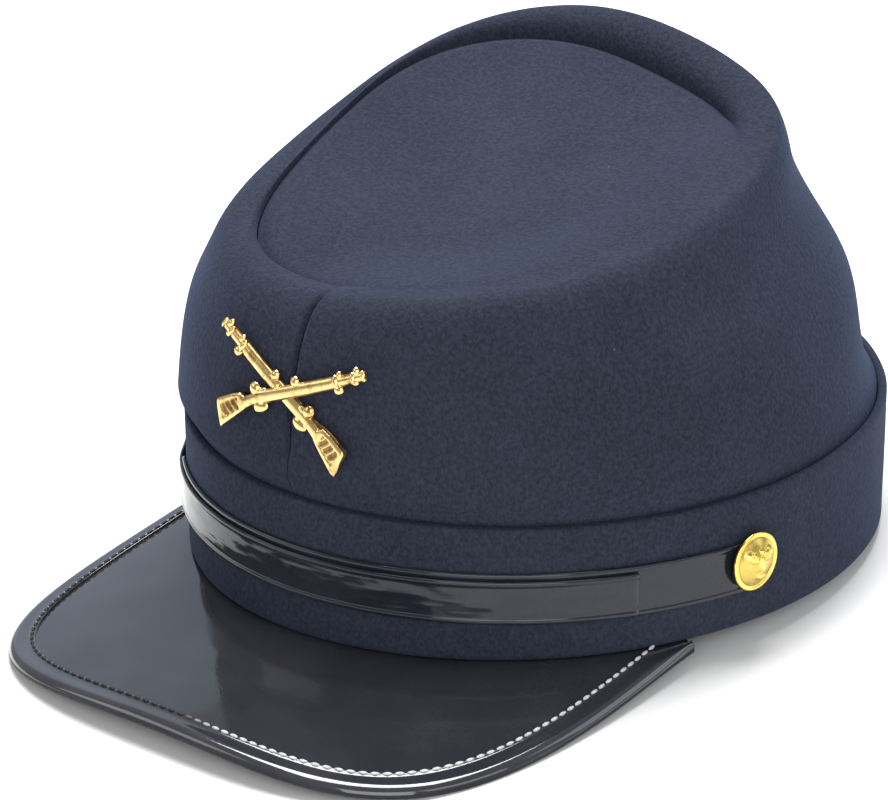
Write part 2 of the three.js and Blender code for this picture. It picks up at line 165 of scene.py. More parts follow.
class Shader:
    """A material's node tree with short ways to add nodes to it."""

    def __init__(self, name: str) -> None:
        """Makes an empty material.

        Args:
            name: The material's name.
        """
        self.material = bpy.data.materials.new(name)
        self.material.use_nodes = True
        self.tree = self.material.node_tree
        self.tree.nodes.clear()

    def node(self, kind: str, settings: dict[str, object] | None = None,
             inputs: dict[int | str, object] | None = None) -> NodeHandle:
        """Adds a node.

        Args:
            kind: The node's type.
            settings: Attributes of the node, which are set first.
            inputs: Values or links of its sockets.

        Returns:
            The node.
        """
        made = self.tree.nodes.new(kind)
        for key, setting in (settings or {}).items():
            setattr(made, key, setting)
        for key, given in (inputs or {}).items():
            if isinstance(given, Value):
                self.tree.links.new(given.socket, made.inputs[key])
            else:
                made.inputs[key].default_value = given
        return NodeHandle(self, made)

    def attribute(self, name: str) -> Value:
        """Returns a number that the mesh's vertices hold."""
        return self.node("ShaderNodeAttribute", {"attribute_name": name}).value("Fac")

    def place(self, scale: Sequence[float] = (1.0, 1.0, 1.0), source: str = "Object") -> Value:
        """Returns the place on the surface.

        Args:
            scale: How much the place is stretched along each axis.
            source: The output of the coordinates that is read.

        Returns:
            The place as a vector value.
        """
        coordinates = self.node("ShaderNodeTexCoord").value(source)
        return self.node("ShaderNodeMapping", {}, {"Vector": coordinates, "Scale": scale}).value("Vector")

    def noise(self, place: Value, scale: float, detail: float = 3.0, roughness: float = 0.5) -> Value:
        """Returns cloudy noise between 0 and 1.

        Args:
            place: The place that is read.
            scale: How many clouds there are in a metre.
            detail: How many finer layers there are.
            roughness: How strong the finer layers are.

        Returns:
            The noise.
        """
        inputs = {"Vector": place, "Scale": scale, "Detail": detail, "Roughness": roughness}
        return self.node("ShaderNodeTexNoise", {}, inputs).value("Fac")

    def specks(self, place: Value, scale: float, size: float) -> Value:
        """Returns sparse round specks.

        Args:
            place: The place that is read.
            scale: How many cells there are in a metre.
            size: A speck's radius as a share of its cell.

        Returns:
            A mask that is 1 on the specks.
        """
        cells = self.node("ShaderNodeTexVoronoi", {}, {"Vector": place, "Scale": scale})
        return 1.0 - cells.value("Distance").above(size * 0.5, size)

    def blend(self, share: Value, first: Color | Value, second: Color | Value) -> Value:
        """Blends two colours.

        Args:
            share: How much of the second colour shows.
            first: The first colour.
            second: The second colour.

        Returns:
            The blended colour.
        """
        colors = [given if isinstance(given, Value) else (*given, 1.0) for given in (first, second)]
        inputs = {0: share, 6: colors[0], 7: colors[1]}
        return self.node("ShaderNodeMix", {"data_type": "RGBA"}, inputs).value(2)

    def bump(self, height: Value, strength: float, distance: float) -> Value:
        """Returns a normal that follows a height.

        Args:
            height: The height, from 0 to 1.
            strength: How strongly the height shows.
            distance: The real height of 1, in metres.

        Returns:
            The normal.
        """
        inputs = {"Height": height, "Strength": strength, "Distance": distance}
        return self.node("ShaderNodeBump", {}, inputs).value("Normal")

    def surface(self, inputs: dict[str, object]) -> Material:
        """Finishes the material.

        Args:
            inputs: The values and links of the surface shader's sockets.

        Returns:
            The material.
        """
        shader = self.node("ShaderNodeBsdfPrincipled", {}, inputs)
        self.node("ShaderNodeOutputMaterial", {}, {"Surface": shader.value("BSDF")})
        return self.material


@dataclass(frozen=True)
class WoolFinish:
    """Brushed navy wool: a blue-black ground with paler fibres, soft nap and a little lint."""

    name: str = "navy_wool"
    ground: Color = (0.0168, 0.0198, 0.0320)
    fibre: Color = (0.0365, 0.0417, 0.0630)
    lint: Color = (0.16, 0.18, 0.22)
    sheen: Color = (0.35, 0.55, 1.0)
    clouds_per_metre: float = 34.0
    felt_per_metre: float = 950.0
    hairs_per_metre: float = 2300.0
    hair_stretch: float = 0.35
    lint_per_metre: float = 105.0
    lint_size: float = 0.045
    lint_strength: float = 0.35
    nap_height: float = 0.0005

    def material(self) -> Material:
        """Builds the material.

        Returns:
            The material.
        """
        shader = Shader(self.name)
        place = shader.place()
        brushed = shader.place((1.0, 1.0, self.hair_stretch))
        clouds = shader.noise(place, self.clouds_per_metre, 2.0).above(0.3, 0.7)
        felt = shader.noise(place, self.felt_per_metre, 3.0, 0.62)
        hairs = shader.noise(brushed, self.hairs_per_metre, 2.0, 0.6)
        fibres = (felt * 0.6 + hairs * 0.4).above(0.35, 0.67)
        cloth = shader.blend((fibres * 0.82 + clouds * 0.18).clamped(), self.ground, self.fibre)
        patches = shader.noise(place, 60.0).above(0.5, 0.64)
        lint = shader.specks(place, self.lint_per_metre, self.lint_size) * patches
        return shader.surface({
            "Base Color": shader.blend(lint * self.lint_strength, cloth, self.lint),
            "Roughness": 0.93 - 0.12 * hairs,
            "Specular IOR Level": 0.06,
            "Sheen Weight": 0.1,
            "Sheen Roughness": 0.4,
            "Sheen Tint": (*self.sheen, 1.0),
            "Normal": shader.bump(felt * 0.7 + hairs * 0.3, 0.75, self.nap_height),
        })


@dataclass(frozen=True)
class PatentFinish:
    """Glossy black patent leather with a faint grain, soft waves and fine scuffs."""

    name: str = "black_patent"
    ground: Color = (0.021, 0.0215, 0.027)
    worn: Color = (0.034, 0.0345, 0.042)
    gloss: float = 0.05
    specular: float = 0.5
    coat: float = 0.4
    streaks: float = 0.0
    wave_height: float = 0.00035
    waves_per_metre: float = 46.0
    grain_per_metre: float = 900.0
    scuffs_per_metre: float = 420.0
    scuff_stretch: float = 0.18
    streaks_along: float = 1.2
    streaks_round: float = 3.0

    def material(self) -> Material:
        """Builds the material.

        Returns:
            The material.
        """
        shader = Shader(self.name)
        place = shader.place()
        drawn_out = shader.place((1.0, self.scuff_stretch, 1.0))
        waves = shader.noise(place, self.waves_per_metre, 2.0)
        grain = shader.noise(place, self.grain_per_metre, 3.0, 0.6)
        scuffs = shader.noise(drawn_out, self.scuffs_per_metre, 4.0, 0.7).above(0.6, 0.8)
        wear = (waves * 0.7 + grain * 0.3).above(0.35, 0.75)
        height = waves * 0.85 + grain * 0.15
        if self.streaks > 0.0:
            along = shader.place((self.streaks_along, self.streaks_round, 1.0), "UV")
            height = height + self.streaks * shader.noise(along, 6.0, 1.0, 0.4)
        return shader.surface({
            "Base Color": shader.blend(wear, self.ground, self.worn),
            "Roughness": self.gloss + 0.04 * waves + 0.1 * scuffs,
            "Specular IOR Level": self.specular,
            "Coat Weight": self.coat - 0.4 * self.coat * scuffs,
            "Coat Roughness": 0.04,
            "Normal": shader.bump(height, 0.35, self.wave_height),
        })


@dataclass(frozen=True)
class BrassFinish:
    """Polished stamped brass with fine scratches, real stains and painted shade in its hollows and on the
    low sides of its relief.
    """

    name: str
    bright: Color
    roughness: float
    stained: float = 0.3
    shade_and_stain_color: Color = (0.22, 0.11, 0.03)
    stains_per_metre: float = 330.0
    scratches_per_metre: float = 2600.0
    scratch_stretch: float = 0.12
    scratch_depth: float = 0.0002

    def material(self) -> Material:
        """Builds the material, darkened with painted shade where the mesh marks shaded hollows and low
        sides, and with real stains.

        Returns:
            The material.
        """
        shader = Shader(self.name)
        stains = shader.noise(shader.place(), self.stains_per_metre, 4.0, 0.6)
        painted_highlight = shader.place((1.0, 1.0, self.scratch_stretch))
        scratches = shader.noise(painted_highlight, self.scratches_per_metre, 2.0)
        # Painted shade: the mesh's marked hollows and low sides are blended towards a dark brown, together
        # with the real stains.
        painted_shade = shader.attribute("painted_shade")
        shade_and_stains = (painted_shade * 0.85 + stains.above(0.5, 0.72) * self.stained).clamped()
        return shader.surface({
            "Base Color": shader.blend(shade_and_stains, self.bright, self.shade_and_stain_color),
            "Metallic": 1.0,
            "Roughness": self.roughness + 0.16 * stains + 0.25 * painted_shade,
            "Normal": shader.bump(scratches * 0.6 + stains * 0.4, 0.25, self.scratch_depth),
        })


@dataclass(frozen=True)
class ThreadFinish:
    """Waxed sewing thread with a twisted ply, painted pale on one side as a highlight."""

    name: str = "waxed_thread"
    ground: Color = (0.008, 0.008, 0.01)
    ply: Color = (0.02, 0.02, 0.024)
    pale: Color = (0.62, 0.63, 0.66)
    twists_per_metre: float = 3200.0
    twist_depth: float = 0.0002

    def material(self) -> Material:
        """Builds the material, with a painted highlight: paler where the mesh marks it.

        Returns:
            The material.
        """
        shader = Shader(self.name)
        twist = shader.noise(shader.place(), self.twists_per_metre, 2.0)
        waxed = shader.blend(twist.above(0.35, 0.65), self.ground, self.ply)
        # Painted highlight: the marked stitches are blended towards a pale grey, standing in for the light
        # they catch.
        painted_highlight = shader.attribute("painted_highlight") * twist.above(0.2, 0.5)
        return shader.surface({
            "Base Color": shader.blend(painted_highlight, waxed, self.pale),
            "Roughness": 0.42 + 0.2 * twist,
            "Specular IOR Level": 0.3,
            "Normal": shader.bump(twist, 0.4, self.twist_depth),
        })


@dataclass(frozen=True)
class FloorFinish:
    """A plain pale floor with the faintest mottle."""

    name: str = "pale_floor"
    tone: float = 0.86
    mottle: float = 0.01

    def material(self) -> Material:
        """Builds the material.

        Returns:
            The material.
        """
        shader = Shader(self.name)
        clouds = shader.noise(shader.place(), 3.0, 2.0)
        dark, pale = ((self.tone + change,) * 3 for change in (-self.mottle, self.mottle))
        return shader.surface({
            "Base Color": shader.blend(clouds, dark, pale),
            "Roughness": 0.9,
            "Specular IOR Level": 0.1,
        })


@dataclass
class CrownSection:
    """The crown's cloth at the front, a side or the back, in millimetres."""

    foot: float
    crest: float
    lean: float
    inset: float
    depth: float


@dataclass
class Oval:
    """The four sides of an oval, in millimetres."""

    left: float
    right: float
    front: float
    back: float


@dataclass
class Dent:
    """A soft dent in the crown's wall, or a soft ridge if its depth is below 0."""

    turn: float
    share: float
    turn_spread: float
    share_spread: float
    depth: float


@dataclass
class CapForm:
    """The cap's surfaces in its own frame: millimetres, the front at -Y and the wearer's left at +X.

    A turn is the angle round the cap in radians, 0 at the front and positive to the wearer's left.
    """

    half_length: float = 97.2
    half_width: float = 87.3
    band_height: float = 37.0
    front_drop: float = 1.6
    left_drop: float = 2.8
    band_wall: float = 2.2
    fit_gap: float = 0.3
    cloth_wall: float = 1.8
    front: CrownSection = field(default_factory=lambda: CrownSection(0.0, 84.2, 0.23, 3.7, 4.0))
    left: CrownSection = field(default_factory=lambda: CrownSection(-0.6, 97.0, 0.71, 7.2, 0.9))
    back: CrownSection = field(default_factory=lambda: CrownSection(-7.2, 121.4, 0.90, 7.9, 8.2))
    right: CrownSection = field(default_factory=lambda: CrownSection(1.4, 104.5, 0.66, 1.2, 0.2))
    crest: Oval = field(default_factory=lambda: Oval(62.2, -56.4, -81.9, 55.3))
    crest_twist: float = 3.1
    crest_waves: tuple[float, float, float] = (0.012, -0.012, -0.042)
    shoulder: float = 3.35
    swell: float = 1.0
    top_sag: float = 3.0
    near_turn: float = 60.0
    near_spread: Range = (48.0, 88.0)
    near_fill: float = 0.85
    near_fill_from: float = 0.5
    tilt: float = 2.912
    shift: tuple[float, float, float] = (0.0, 23.857, 4.938)
    dents: tuple[Dent, ...] = (
        Dent(128.0, 0.80, 20.0, 0.18, 2.8),
        Dent(128.0, 0.42, 22.0, 0.22, -2.9),
        Dent(97.0, 0.78, 33.0, 0.15, 2.6),
        Dent(-60.0, 0.85, 25.0, 0.15, 1.8),
        Dent(-110.0, 0.60, 20.0, 0.22, 1.8),
    )

    @property
    def to_floor(self) -> Matrix:
        """The matrix from the cap's own frame to the shared frame in metres."""
        turn = Matrix.Rotation(math.radians(-self.tilt), 4, "X")
        return Matrix.Scale(METRES_IN_MM, 4) @ Matrix.Translation(self.shift) @ turn

    def outward(self, turn: float) -> Vector:
        """Returns the direction out of the band at a turn."""
        normal = Vector((math.sin(turn) / self.half_width, -math.cos(turn) / self.half_length, 0.0))
        return normal.normalized()

    def band_point(self, turn: float, out: float, height: float) -> Vector:
        """Returns a place on the band.

        Args:
            turn: The angle round the cap.
            out: How far the place stands out of the band's outer face.
            height: Its height above the band's lower rim.

        Returns:
            The place.
        """
        foot = Vector((self.half_width * math.sin(turn), -self.half_length * math.cos(turn), height))
        return foot + self.outward(turn) * out

    def by_turn(self, column: str, turn: float, radius: float = 1.0) -> float:
        """Blends a size of the crown's sections round the cap.

        Args:
            column: The name of the size.
            turn: The angle round the cap.
            radius: A share of the way out from the middle, which flattens the blend.

        Returns:
            The size at that turn.
        """
        sides = (self.front, self.left, self.back, self.right)
        front, left, back, right = (getattr(section, column) for section in sides)
        along = (front - back) / 2.0 * radius * math.cos(turn)
        across = (left - right) / 2.0 * radius * math.sin(turn)
        saddle = (front + back - left - right) / 4.0 * radius**2 * math.cos(2.0 * turn)
        return (front + left + back + right) / 4.0 + along + across + saddle

    def band_top(self, turn: float) -> float:
        """Returns the height of the band's upper edge at a turn."""
        return self.band_height - self.front_drop * math.cos(turn) - self.left_drop * math.sin(turn)

    def crest_height(self, turn: float, radius: float = 1.0) -> float:
        """Returns the height of the crest at a turn, or of the plane inside it for a radius below 1."""
        return self.by_turn("crest", turn, radius) + self.crest_twist * radius**2 * math.sin(2.0 * turn)

    def oval_point(self, oval: Oval, turn: float, share: float, height: float) -> Vector:
        """Returns a place on an oval that has the crest's rounded corners.

        Args:
            oval: The oval's sides.
            turn: The angle round the cap.
            share: The share of the way from the oval's middle to its edge.
            height: The height of the place.

        Returns:
            The place.
        """
        third, skewed, fourth = self.crest_waves
        waves = third * math.cos(3.0 * turn) + skewed * math.sin(3.0 * turn) + fourth * math.cos(4.0 * turn)
        reach = (1.0 + waves) * share
        x = (oval.left + oval.right) / 2.0 + (oval.left - oval.right) / 2.0 * reach * math.sin(turn)
        y = (oval.front + oval.back) / 2.0 + (oval.front - oval.back) / 2.0 * reach * math.cos(turn)
        return Vector((x, y, height))

    def crest_point(self, turn: float) -> Vector:
        """Returns the highest place of the crown's cloth at a turn."""
        return self.oval_point(self.crest, turn, 1.0, self.crest_height(turn))

    def sunk_share(self, turn: float) -> float:
        """Returns 1 where the top is sunk below its rim and 0 where it is filled level with it."""
        return smooth_step(*self.near_spread, abs(degrees_apart(turn, self.near_turn)))

    def top_point(self, turn: float, share: float, shrink: float) -> Vector:
        """Returns a place on the top.

        Args:
            turn: The angle round the cap.
            share: The share of the way from the top's middle to its seam.
            shrink: How much smaller the top is than its seam.

        Returns:
            The place.
        """
        seam = Oval(
            self.crest.left - self.left.inset - shrink,
            self.crest.right + self.right.inset + shrink,
            self.crest.front + self.front.inset + shrink,
            self.crest.back - self.back.inset - shrink,
        )
        near = (1.0 - self.sunk_share(turn)) * smooth_step(self.near_fill_from, 1.0, share)
        depth = self.by_turn("depth", turn, share) * (1.0 - self.near_fill * near)
        sag = self.top_sag * (1.0 - share**2)
        return self.oval_point(seam, turn, share, self.crest_height(turn, share) - depth - sag)

    def dent_depth(self, turn: float, share: float) -> float:
        """Returns how deep the dents are at a place on the wall.

        Args:
            turn: The angle round the cap.
            share: The share of the wall's height.

        Returns:
            The depth.
        """
        depth = 0.0
        for dent in self.dents:
            round_cap = degrees_apart(turn, dent.turn) / dent.turn_spread
            up_wall = (share - dent.share) / dent.share_spread
            depth += dent.depth * math.exp(-(round_cap**2 + up_wall**2))
        return depth

    def wall_point(self, turn: float, share: float) -> Vector:
        """Returns a place on the crown's wall.

        Args:
            turn: The angle round the cap.
            share: The share of the wall's height, 0 at the band and 1 at the crest.

        Returns:
            The place.
        """
        foot = self.band_point(turn, self.by_turn("foot", turn), self.band_top(turn))
        crest = self.crest_point(turn)
        lean = self.by_turn("lean", turn)
        roll = 1.0 - max(0.0, 1.0 - share**self.shoulder) ** (1.0 / self.shoulder)
        inward = lean * share + (1.0 - lean) * roll
        middle = max(0.0, math.sin(math.pi * share))
        bulge = self.swell * middle - self.dent_depth(turn, share) * math.sqrt(middle)
        x, y = lerp(foot.x, crest.x, inward), lerp(foot.y, crest.y, inward)
        return Vector((x, y, lerp(foot.z, crest.z, share))) + self.outward(turn) * bulge

    def rim_point(self, turn: float, share: float) -> Vector:
        """Returns a place on the cloth that turns from the crest down to the seam of the top.

        Args:
            turn: The angle round the cap.
            share: The share of the way from the crest to the seam.

        Returns:
            The place.
        """
        quarter = math.pi / 2.0 * share
        crest = self.crest_point(turn)
        seam = self.top_point(turn, 1.0, 0.0)
        sunk = self.sunk_share(turn)
        inward = lerp(share, math.sin(quarter), sunk)
        downward = lerp(share, 1.0 - math.cos(quarter), sunk)
        x, y = lerp(crest.x, seam.x, inward), lerp(crest.y, seam.y, inward)
        return Vector((x, y, lerp(crest.z, seam.z, downward)))

    def wall_frame(self, turn: float, share: float) -> tuple[Vector, Vector, Vector]:
        """Returns a place on the wall and its directions.

        Args:
            turn: The angle round the cap.
            share: The share of the wall's height.

        Returns:
            The place, the direction across the wall and the direction out of it.
        """
        step = 0.005
        across = (self.wall_point(turn + step, share) - self.wall_point(turn - step, share)).normalized()
        upward = self.wall_point(turn, share + step) - self.wall_point(turn, share - step)
        return self.wall_point(turn, share), across, across.cross(upward).normalized()


@dataclass
class Workshop:
    """Makes finished pieces from meshes that are in the cap's own frame."""

    form: CapForm
    weld: float = 1e-4
    shortest_edge: float = 1e-5

    @staticmethod
    def sheet(columns: int, rows: int, place: Place) -> Mesh:
        """Lays a grid over a surface.

        Args:
            columns: The number of steps along the surface's first direction.
            rows: The number of steps along its second direction.
            place: The surface, as a function of two shares from 0 to 1.

        Returns:
            The mesh, with the shares as its UV map.
        """
        mesh = bmesh.new()
        bmesh.ops.create_grid(mesh, x_segments=columns, y_segments=rows, size=0.5)
        layer = mesh.loops.layers.uv.new("shares")
        for face in mesh.faces:
            for loop in face.loops:
                loop[layer].uv = (loop.vert.co.x + 0.5, loop.vert.co.y + 0.5)
        for vert in mesh.verts:
            vert.co = place(vert.co.x + 0.5, vert.co.y + 0.5)
        return mesh

    def close(self, mesh: Mesh) -> None:
        """Merges the doubles of a mesh, closes its ends and turns its faces outwards.

        Args:
            mesh: The mesh.
        """
        bmesh.ops.remove_doubles(mesh, verts=mesh.verts, dist=self.weld)
        bmesh.ops.dissolve_degenerate(mesh, dist=self.shortest_edge, edges=mesh.edges)
        ends = [edge for edge in mesh.edges if edge.is_boundary]
        if ends:
            bmesh.ops.holes_fill(mesh, edges=ends, sides=0)
        bmesh.ops.recalc_face_normals(mesh, faces=mesh.faces)

    def finish(self, name: str, mesh: Mesh, materials: Sequence[Material], slot: str,
               replaced: str = "", wall: float = 0.0) -> None:
        """Turns a mesh into a finished piece in the shared frame.

        Args:
            name: The piece's name.
            mesh: The mesh in the cap's own frame.
            materials: The piece's materials.
            slot: The record's material slot; not used.
            replaced: The CAD node that the piece stands for, if there is one.
            wall: The thickness that a sheet gets on its inner side.
        """
        bmesh.ops.transform(mesh, matrix=self.form.to_floor, verts=mesh.verts)
        data = bpy.data.meshes.new(name)
        mesh.to_mesh(data)
        mesh.free()
        data.shade_smooth()
        for material in materials:
            data.materials.append(material)
        piece = bpy.data.objects.new(name, data)
        bpy.context.scene.collection.objects.link(piece)
        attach(piece, "root")
        if replaced:
            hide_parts(replaced)
        if wall > 0.0:
            thickness = piece.modifiers.new("wall", "SOLIDIFY")
            thickness.thickness = wall * METRES_IN_MM
            thickness.offset = -1.0
        LOG.info("%s: %d faces", name, len(data.polygons))


@dataclass(frozen=True)
class Ripple:
    """The gentle unevenness of cloth: its height, its waves in a millimetre and its pattern's shift."""

    height: float
    per_mm: float
    shift: tuple[float, float, float]

    def at(self, place: Vector) -> float:
        """Returns the unevenness at a place."""
        return noise.noise(place * self.per_mm + Vector(self.shift)) * self.height


@dataclass
class Crown:
    """The soft wool crown: two side panels and the sunken top.

    A share of the panel's cloth runs from its tuck inside the band to its allowance under the top.
    """

    shop: Workshop
    columns: int = 200
    rows: int = 90
    top_steps: int = 150
    crowding: float = 0.92
    tuck_end: float = 0.05
    crest_at: float = 0.86
    seam_at: float = 0.97
    tuck_depth: float = 5.0
    foot_angle: float = 0.01
    foot_blend: float = 0.055
    allowance: float = 2.3
    under_share: float = 0.05
    under_drop: float = 0.5
    front_seam_depth: float = 1.1
    back_seam_depth: float = 0.22
    front_opening: float = 0.22
    seam_width: float = 0.6
    seam_start: Range = (0.07, 0.1)
    seam_fade: Range = (0.6, 0.88)
    loose_start: Range = (0.06, 0.2)
    front_turns: Range = (-0.5, 0.5)
    probe: float = 0.004
    waves: Ripple = Ripple(0.5, 0.021, (3.1, 0.4, 7.7))
    creases: Ripple = Ripple(0.175, 0.06, (0.2, 5.3, 1.1))
    top_waves: Ripple = Ripple(0.5, 0.03, (8.0, 2.0, 0.0))
    groove: float = 1.6
    groove_from: float = 0.93

    def path_point(self, turn: float, share: float) -> Vector:
        """Returns a place on the panel's cloth.

        Args:
            turn: The angle round the cap.
            share: The share of the way along the cloth.

        Returns:
            The place.
        """
        form = self.shop.form
        inside = -form.band_wall - form.fit_gap
        top = form.band_top(turn)
        if share < self.tuck_end:
            return form.band_point(turn, inside, top - self.tuck_depth * (1.0 - share / self.tuck_end))
        if share < self.crest_at:
            risen = (share - self.tuck_end) / (self.crest_at - self.tuck_end)
            up = math.sin(lerp(self.foot_angle, math.pi / 2.0, risen)) ** (2.0 / form.shoulder)
            start = form.band_point(turn, inside, top + form.fit_gap)
            return start.lerp(form.wall_point(turn, up), smooth_step(0.0, self.foot_blend, up))
        if share < self.seam_at:
            return form.rim_point(turn, (share - self.crest_at) / (self.seam_at - self.crest_at))
        below = (share - self.seam_at) / (1.0 - self.seam_at)
        hanging = form.rim_point(turn, 1.0) - UP * (self.allowance * below)
        under = form.top_point(turn, 1.0 - self.under_share * below, 0.0) - UP * (self.under_drop * below)
        return under.lerp(hanging, form.sunk_share(turn))

    def cloth_point(self, turn: float, share: float) -> Vector:
        """Returns a place on the panel with the pull of its seams and the unevenness of cloth.

        Args:
            turn: The angle round the cap.
            share: The share of the way along the cloth.

        Returns:
            The place.
        """
        place = self.path_point(turn, share)
        step = self.probe if share < 0.5 else -self.probe
        across = self.path_point(turn + step, share) - place
        along = self.path_point(turn, share + step) - place
        normal = across.cross(along).normalized()
        apart = abs(math.sin(turn)) * self.shop.form.half_width
        depth = self.front_seam_depth if math.cos(turn) > 0.0 else self.back_seam_depth
        sewn = smooth_step(*self.seam_start, share) * (1.0 - smooth_step(*self.seam_fade, share))
        dip = depth * math.exp(-((apart / self.seam_width) ** 2)) * sewn
        held = smooth_step(self.crest_at, self.seam_at, share)
        loose = smooth_step(*self.loose_start, share) * (1.0 - held)
        return place + normal * ((self.waves.at(place) + self.creases.at(place)) * loose - dip)

    def panel(self, side: Side, wool: Material) -> None:
        """Builds one side panel.

        Args:
            side: The wearer's side.
            wool: The panel's material.
        """
        start = 0.0 if side is Side.LEFT else -math.pi

        def place(u: float, v: float) -> Vector:
            """Returns a place on the panel.

            Args:
                u: The share round the cap, crowded near the seams.
                v: The share of the way along the cloth.

            Returns:
                The place.
            """
            turn = start + math.pi * u - self.crowding * math.sin(2.0 * math.pi * u) / 2.0
            front = smooth_step(*self.front_turns, math.cos(turn)) * (1.0 - smooth_step(*self.seam_fade, v))
            return self.cloth_point(turn, v) + Vector((side.value * self.front_opening * front, 0.0, 0.0))

        mesh = self.shop.sheet(self.columns, self.rows, place)
        self.shop.finish(f"crown_{side.label}_cloth", mesh, [wool], "crown_wool", f"crown_{side.label}",
                         self.shop.form.cloth_wall)

    def top(self, wool: Material) -> None:
        """Builds the sunken top.

        Args:
            wool: The top's material.
        """
        form = self.shop.form

        def place(u: float, v: float) -> Vector:
            """Returns a place on the top, from a square drawn in to a disc.

            Args:
                u: The share across the square.
                v: The share along it.

            Returns:
                The place.
            """
            x, y = 2.0 * u - 1.0, 2.0 * v - 1.0
            across = x * math.sqrt(1.0 - y * y / 2.0)
            along = y * math.sqrt(1.0 - x * x / 2.0)
            share = math.hypot(across, along)
            turn = math.atan2(across, -along)
            sunk = form.sunk_share(turn)
            point = form.top_point(turn, share, form.fit_gap * sunk)
            edge = smooth_step(self.groove_from, 1.0, share) ** 2
            return point + UP * (self.top_waves.at(point) * (1.0 - edge) - self.groove * sunk * edge)

        mesh = self.shop.sheet(self.top_steps, self.top_steps, place)
        for edge in mesh.edges:
            edge.smooth = not edge.is_boundary
        self.shop.finish("crown_top_cloth", mesh, [wool], "top_wool", "crown_top", form.cloth_wall)

    def build(self, wool: Material) -> None:
        """Builds all the cloth of the crown.

        Args:
            wool: The crown's material.
        """
        for side in Side:
            self.panel(side, wool)
        self.top(wool)


def rounded_section(width: float, height: float, radius: float, share: float) -> tuple[float, float]:
    """Returns a place on the outline of a rounded rectangle.

    Args:
        width: The rectangle's width.
        height: Its height.
        radius: The radius of its corners.
        share: The share of the way round, from the middle of its right side and up.

    Returns:
        The distances to the right of its middle and above it.
    """
    straight_x = width - 2.0 * radius
    straight_y = height - 2.0 * radius
    arc = math.pi / 2.0 * radius
    lengths = [straight_y / 2.0, arc, straight_x, arc, straight_y, arc, straight_x, arc, straight_y / 2.0]
    left = share * sum(lengths)
    index = 0
    while index < len(lengths) - 1 and left > lengths[index]:
        left -= lengths[index]
        index += 1
    half_x = straight_x / 2.0
    half_y = straight_y / 2.0
    if index % 2 == 0:
        sides = ((width / 2.0, left), (half_x - left, height / 2.0), (-width / 2.0, half_y - left),
                 (left - half_x, -height / 2.0), (width / 2.0, left - half_y))
        return sides[index // 2]
    corner = ((half_x, half_y), (-half_x, half_y), (-half_x, -half_y), (half_x, -half_y))[index // 2]
    angle = math.pi / 2.0 * (index // 2) + left / radius
    return corner[0] + radius * math.cos(angle), corner[1] + radius * math.sin(angle)


@dataclass
class HeadBand:
    """The upright wool band round the head."""

    shop: Workshop
    columns: int = 260
    rows: int = 96
    edge_radius: float = 0.9
    waves: Ripple = Ripple(0.35, 0.03, (4.0, 1.0, 9.0))
    loose_from: Range = (4.0, 12.0)
    seam_width: float = 1.4
    seam_depth: float = 0.4

    def build(self, wool: Material) -> None:
        """Builds the band.

        Args:
            wool: The band's material.
        """
        form = self.shop.form

        def place(u: float, v: float) -> Vector:
            """Returns a place on the band.

            Args:
                u: The share round the cap, from the back.
                v: The share round the band's section.

            Returns:
                The place.
            """
            turn = 2.0 * math.pi * u - math.pi
            top = form.band_top(turn)
            out, up = rounded_section(form.band_wall, top, self.edge_radius, v)
            height = up + top / 2.0
            wave = self.waves.at(form.band_point(turn, 0.0, height)) * smooth_step(*self.loose_from, height)
            seam = math.exp(-((form.half_width * (abs(turn) - math.pi) / self.seam_width) ** 2))
            return form.band_point(turn, out - form.band_wall / 2.0 + wave - self.seam_depth * seam, height)

        mesh = self.shop.sheet(self.columns, self.rows, place)
        self.shop.close(mesh)
        self.shop.finish("band_cloth", mesh, [wool], "band_wool", "band")


@dataclass
class SectionPoint:
    """A corner of a section: its distance in from the edge, and its height."""

    inset: float
    height: float


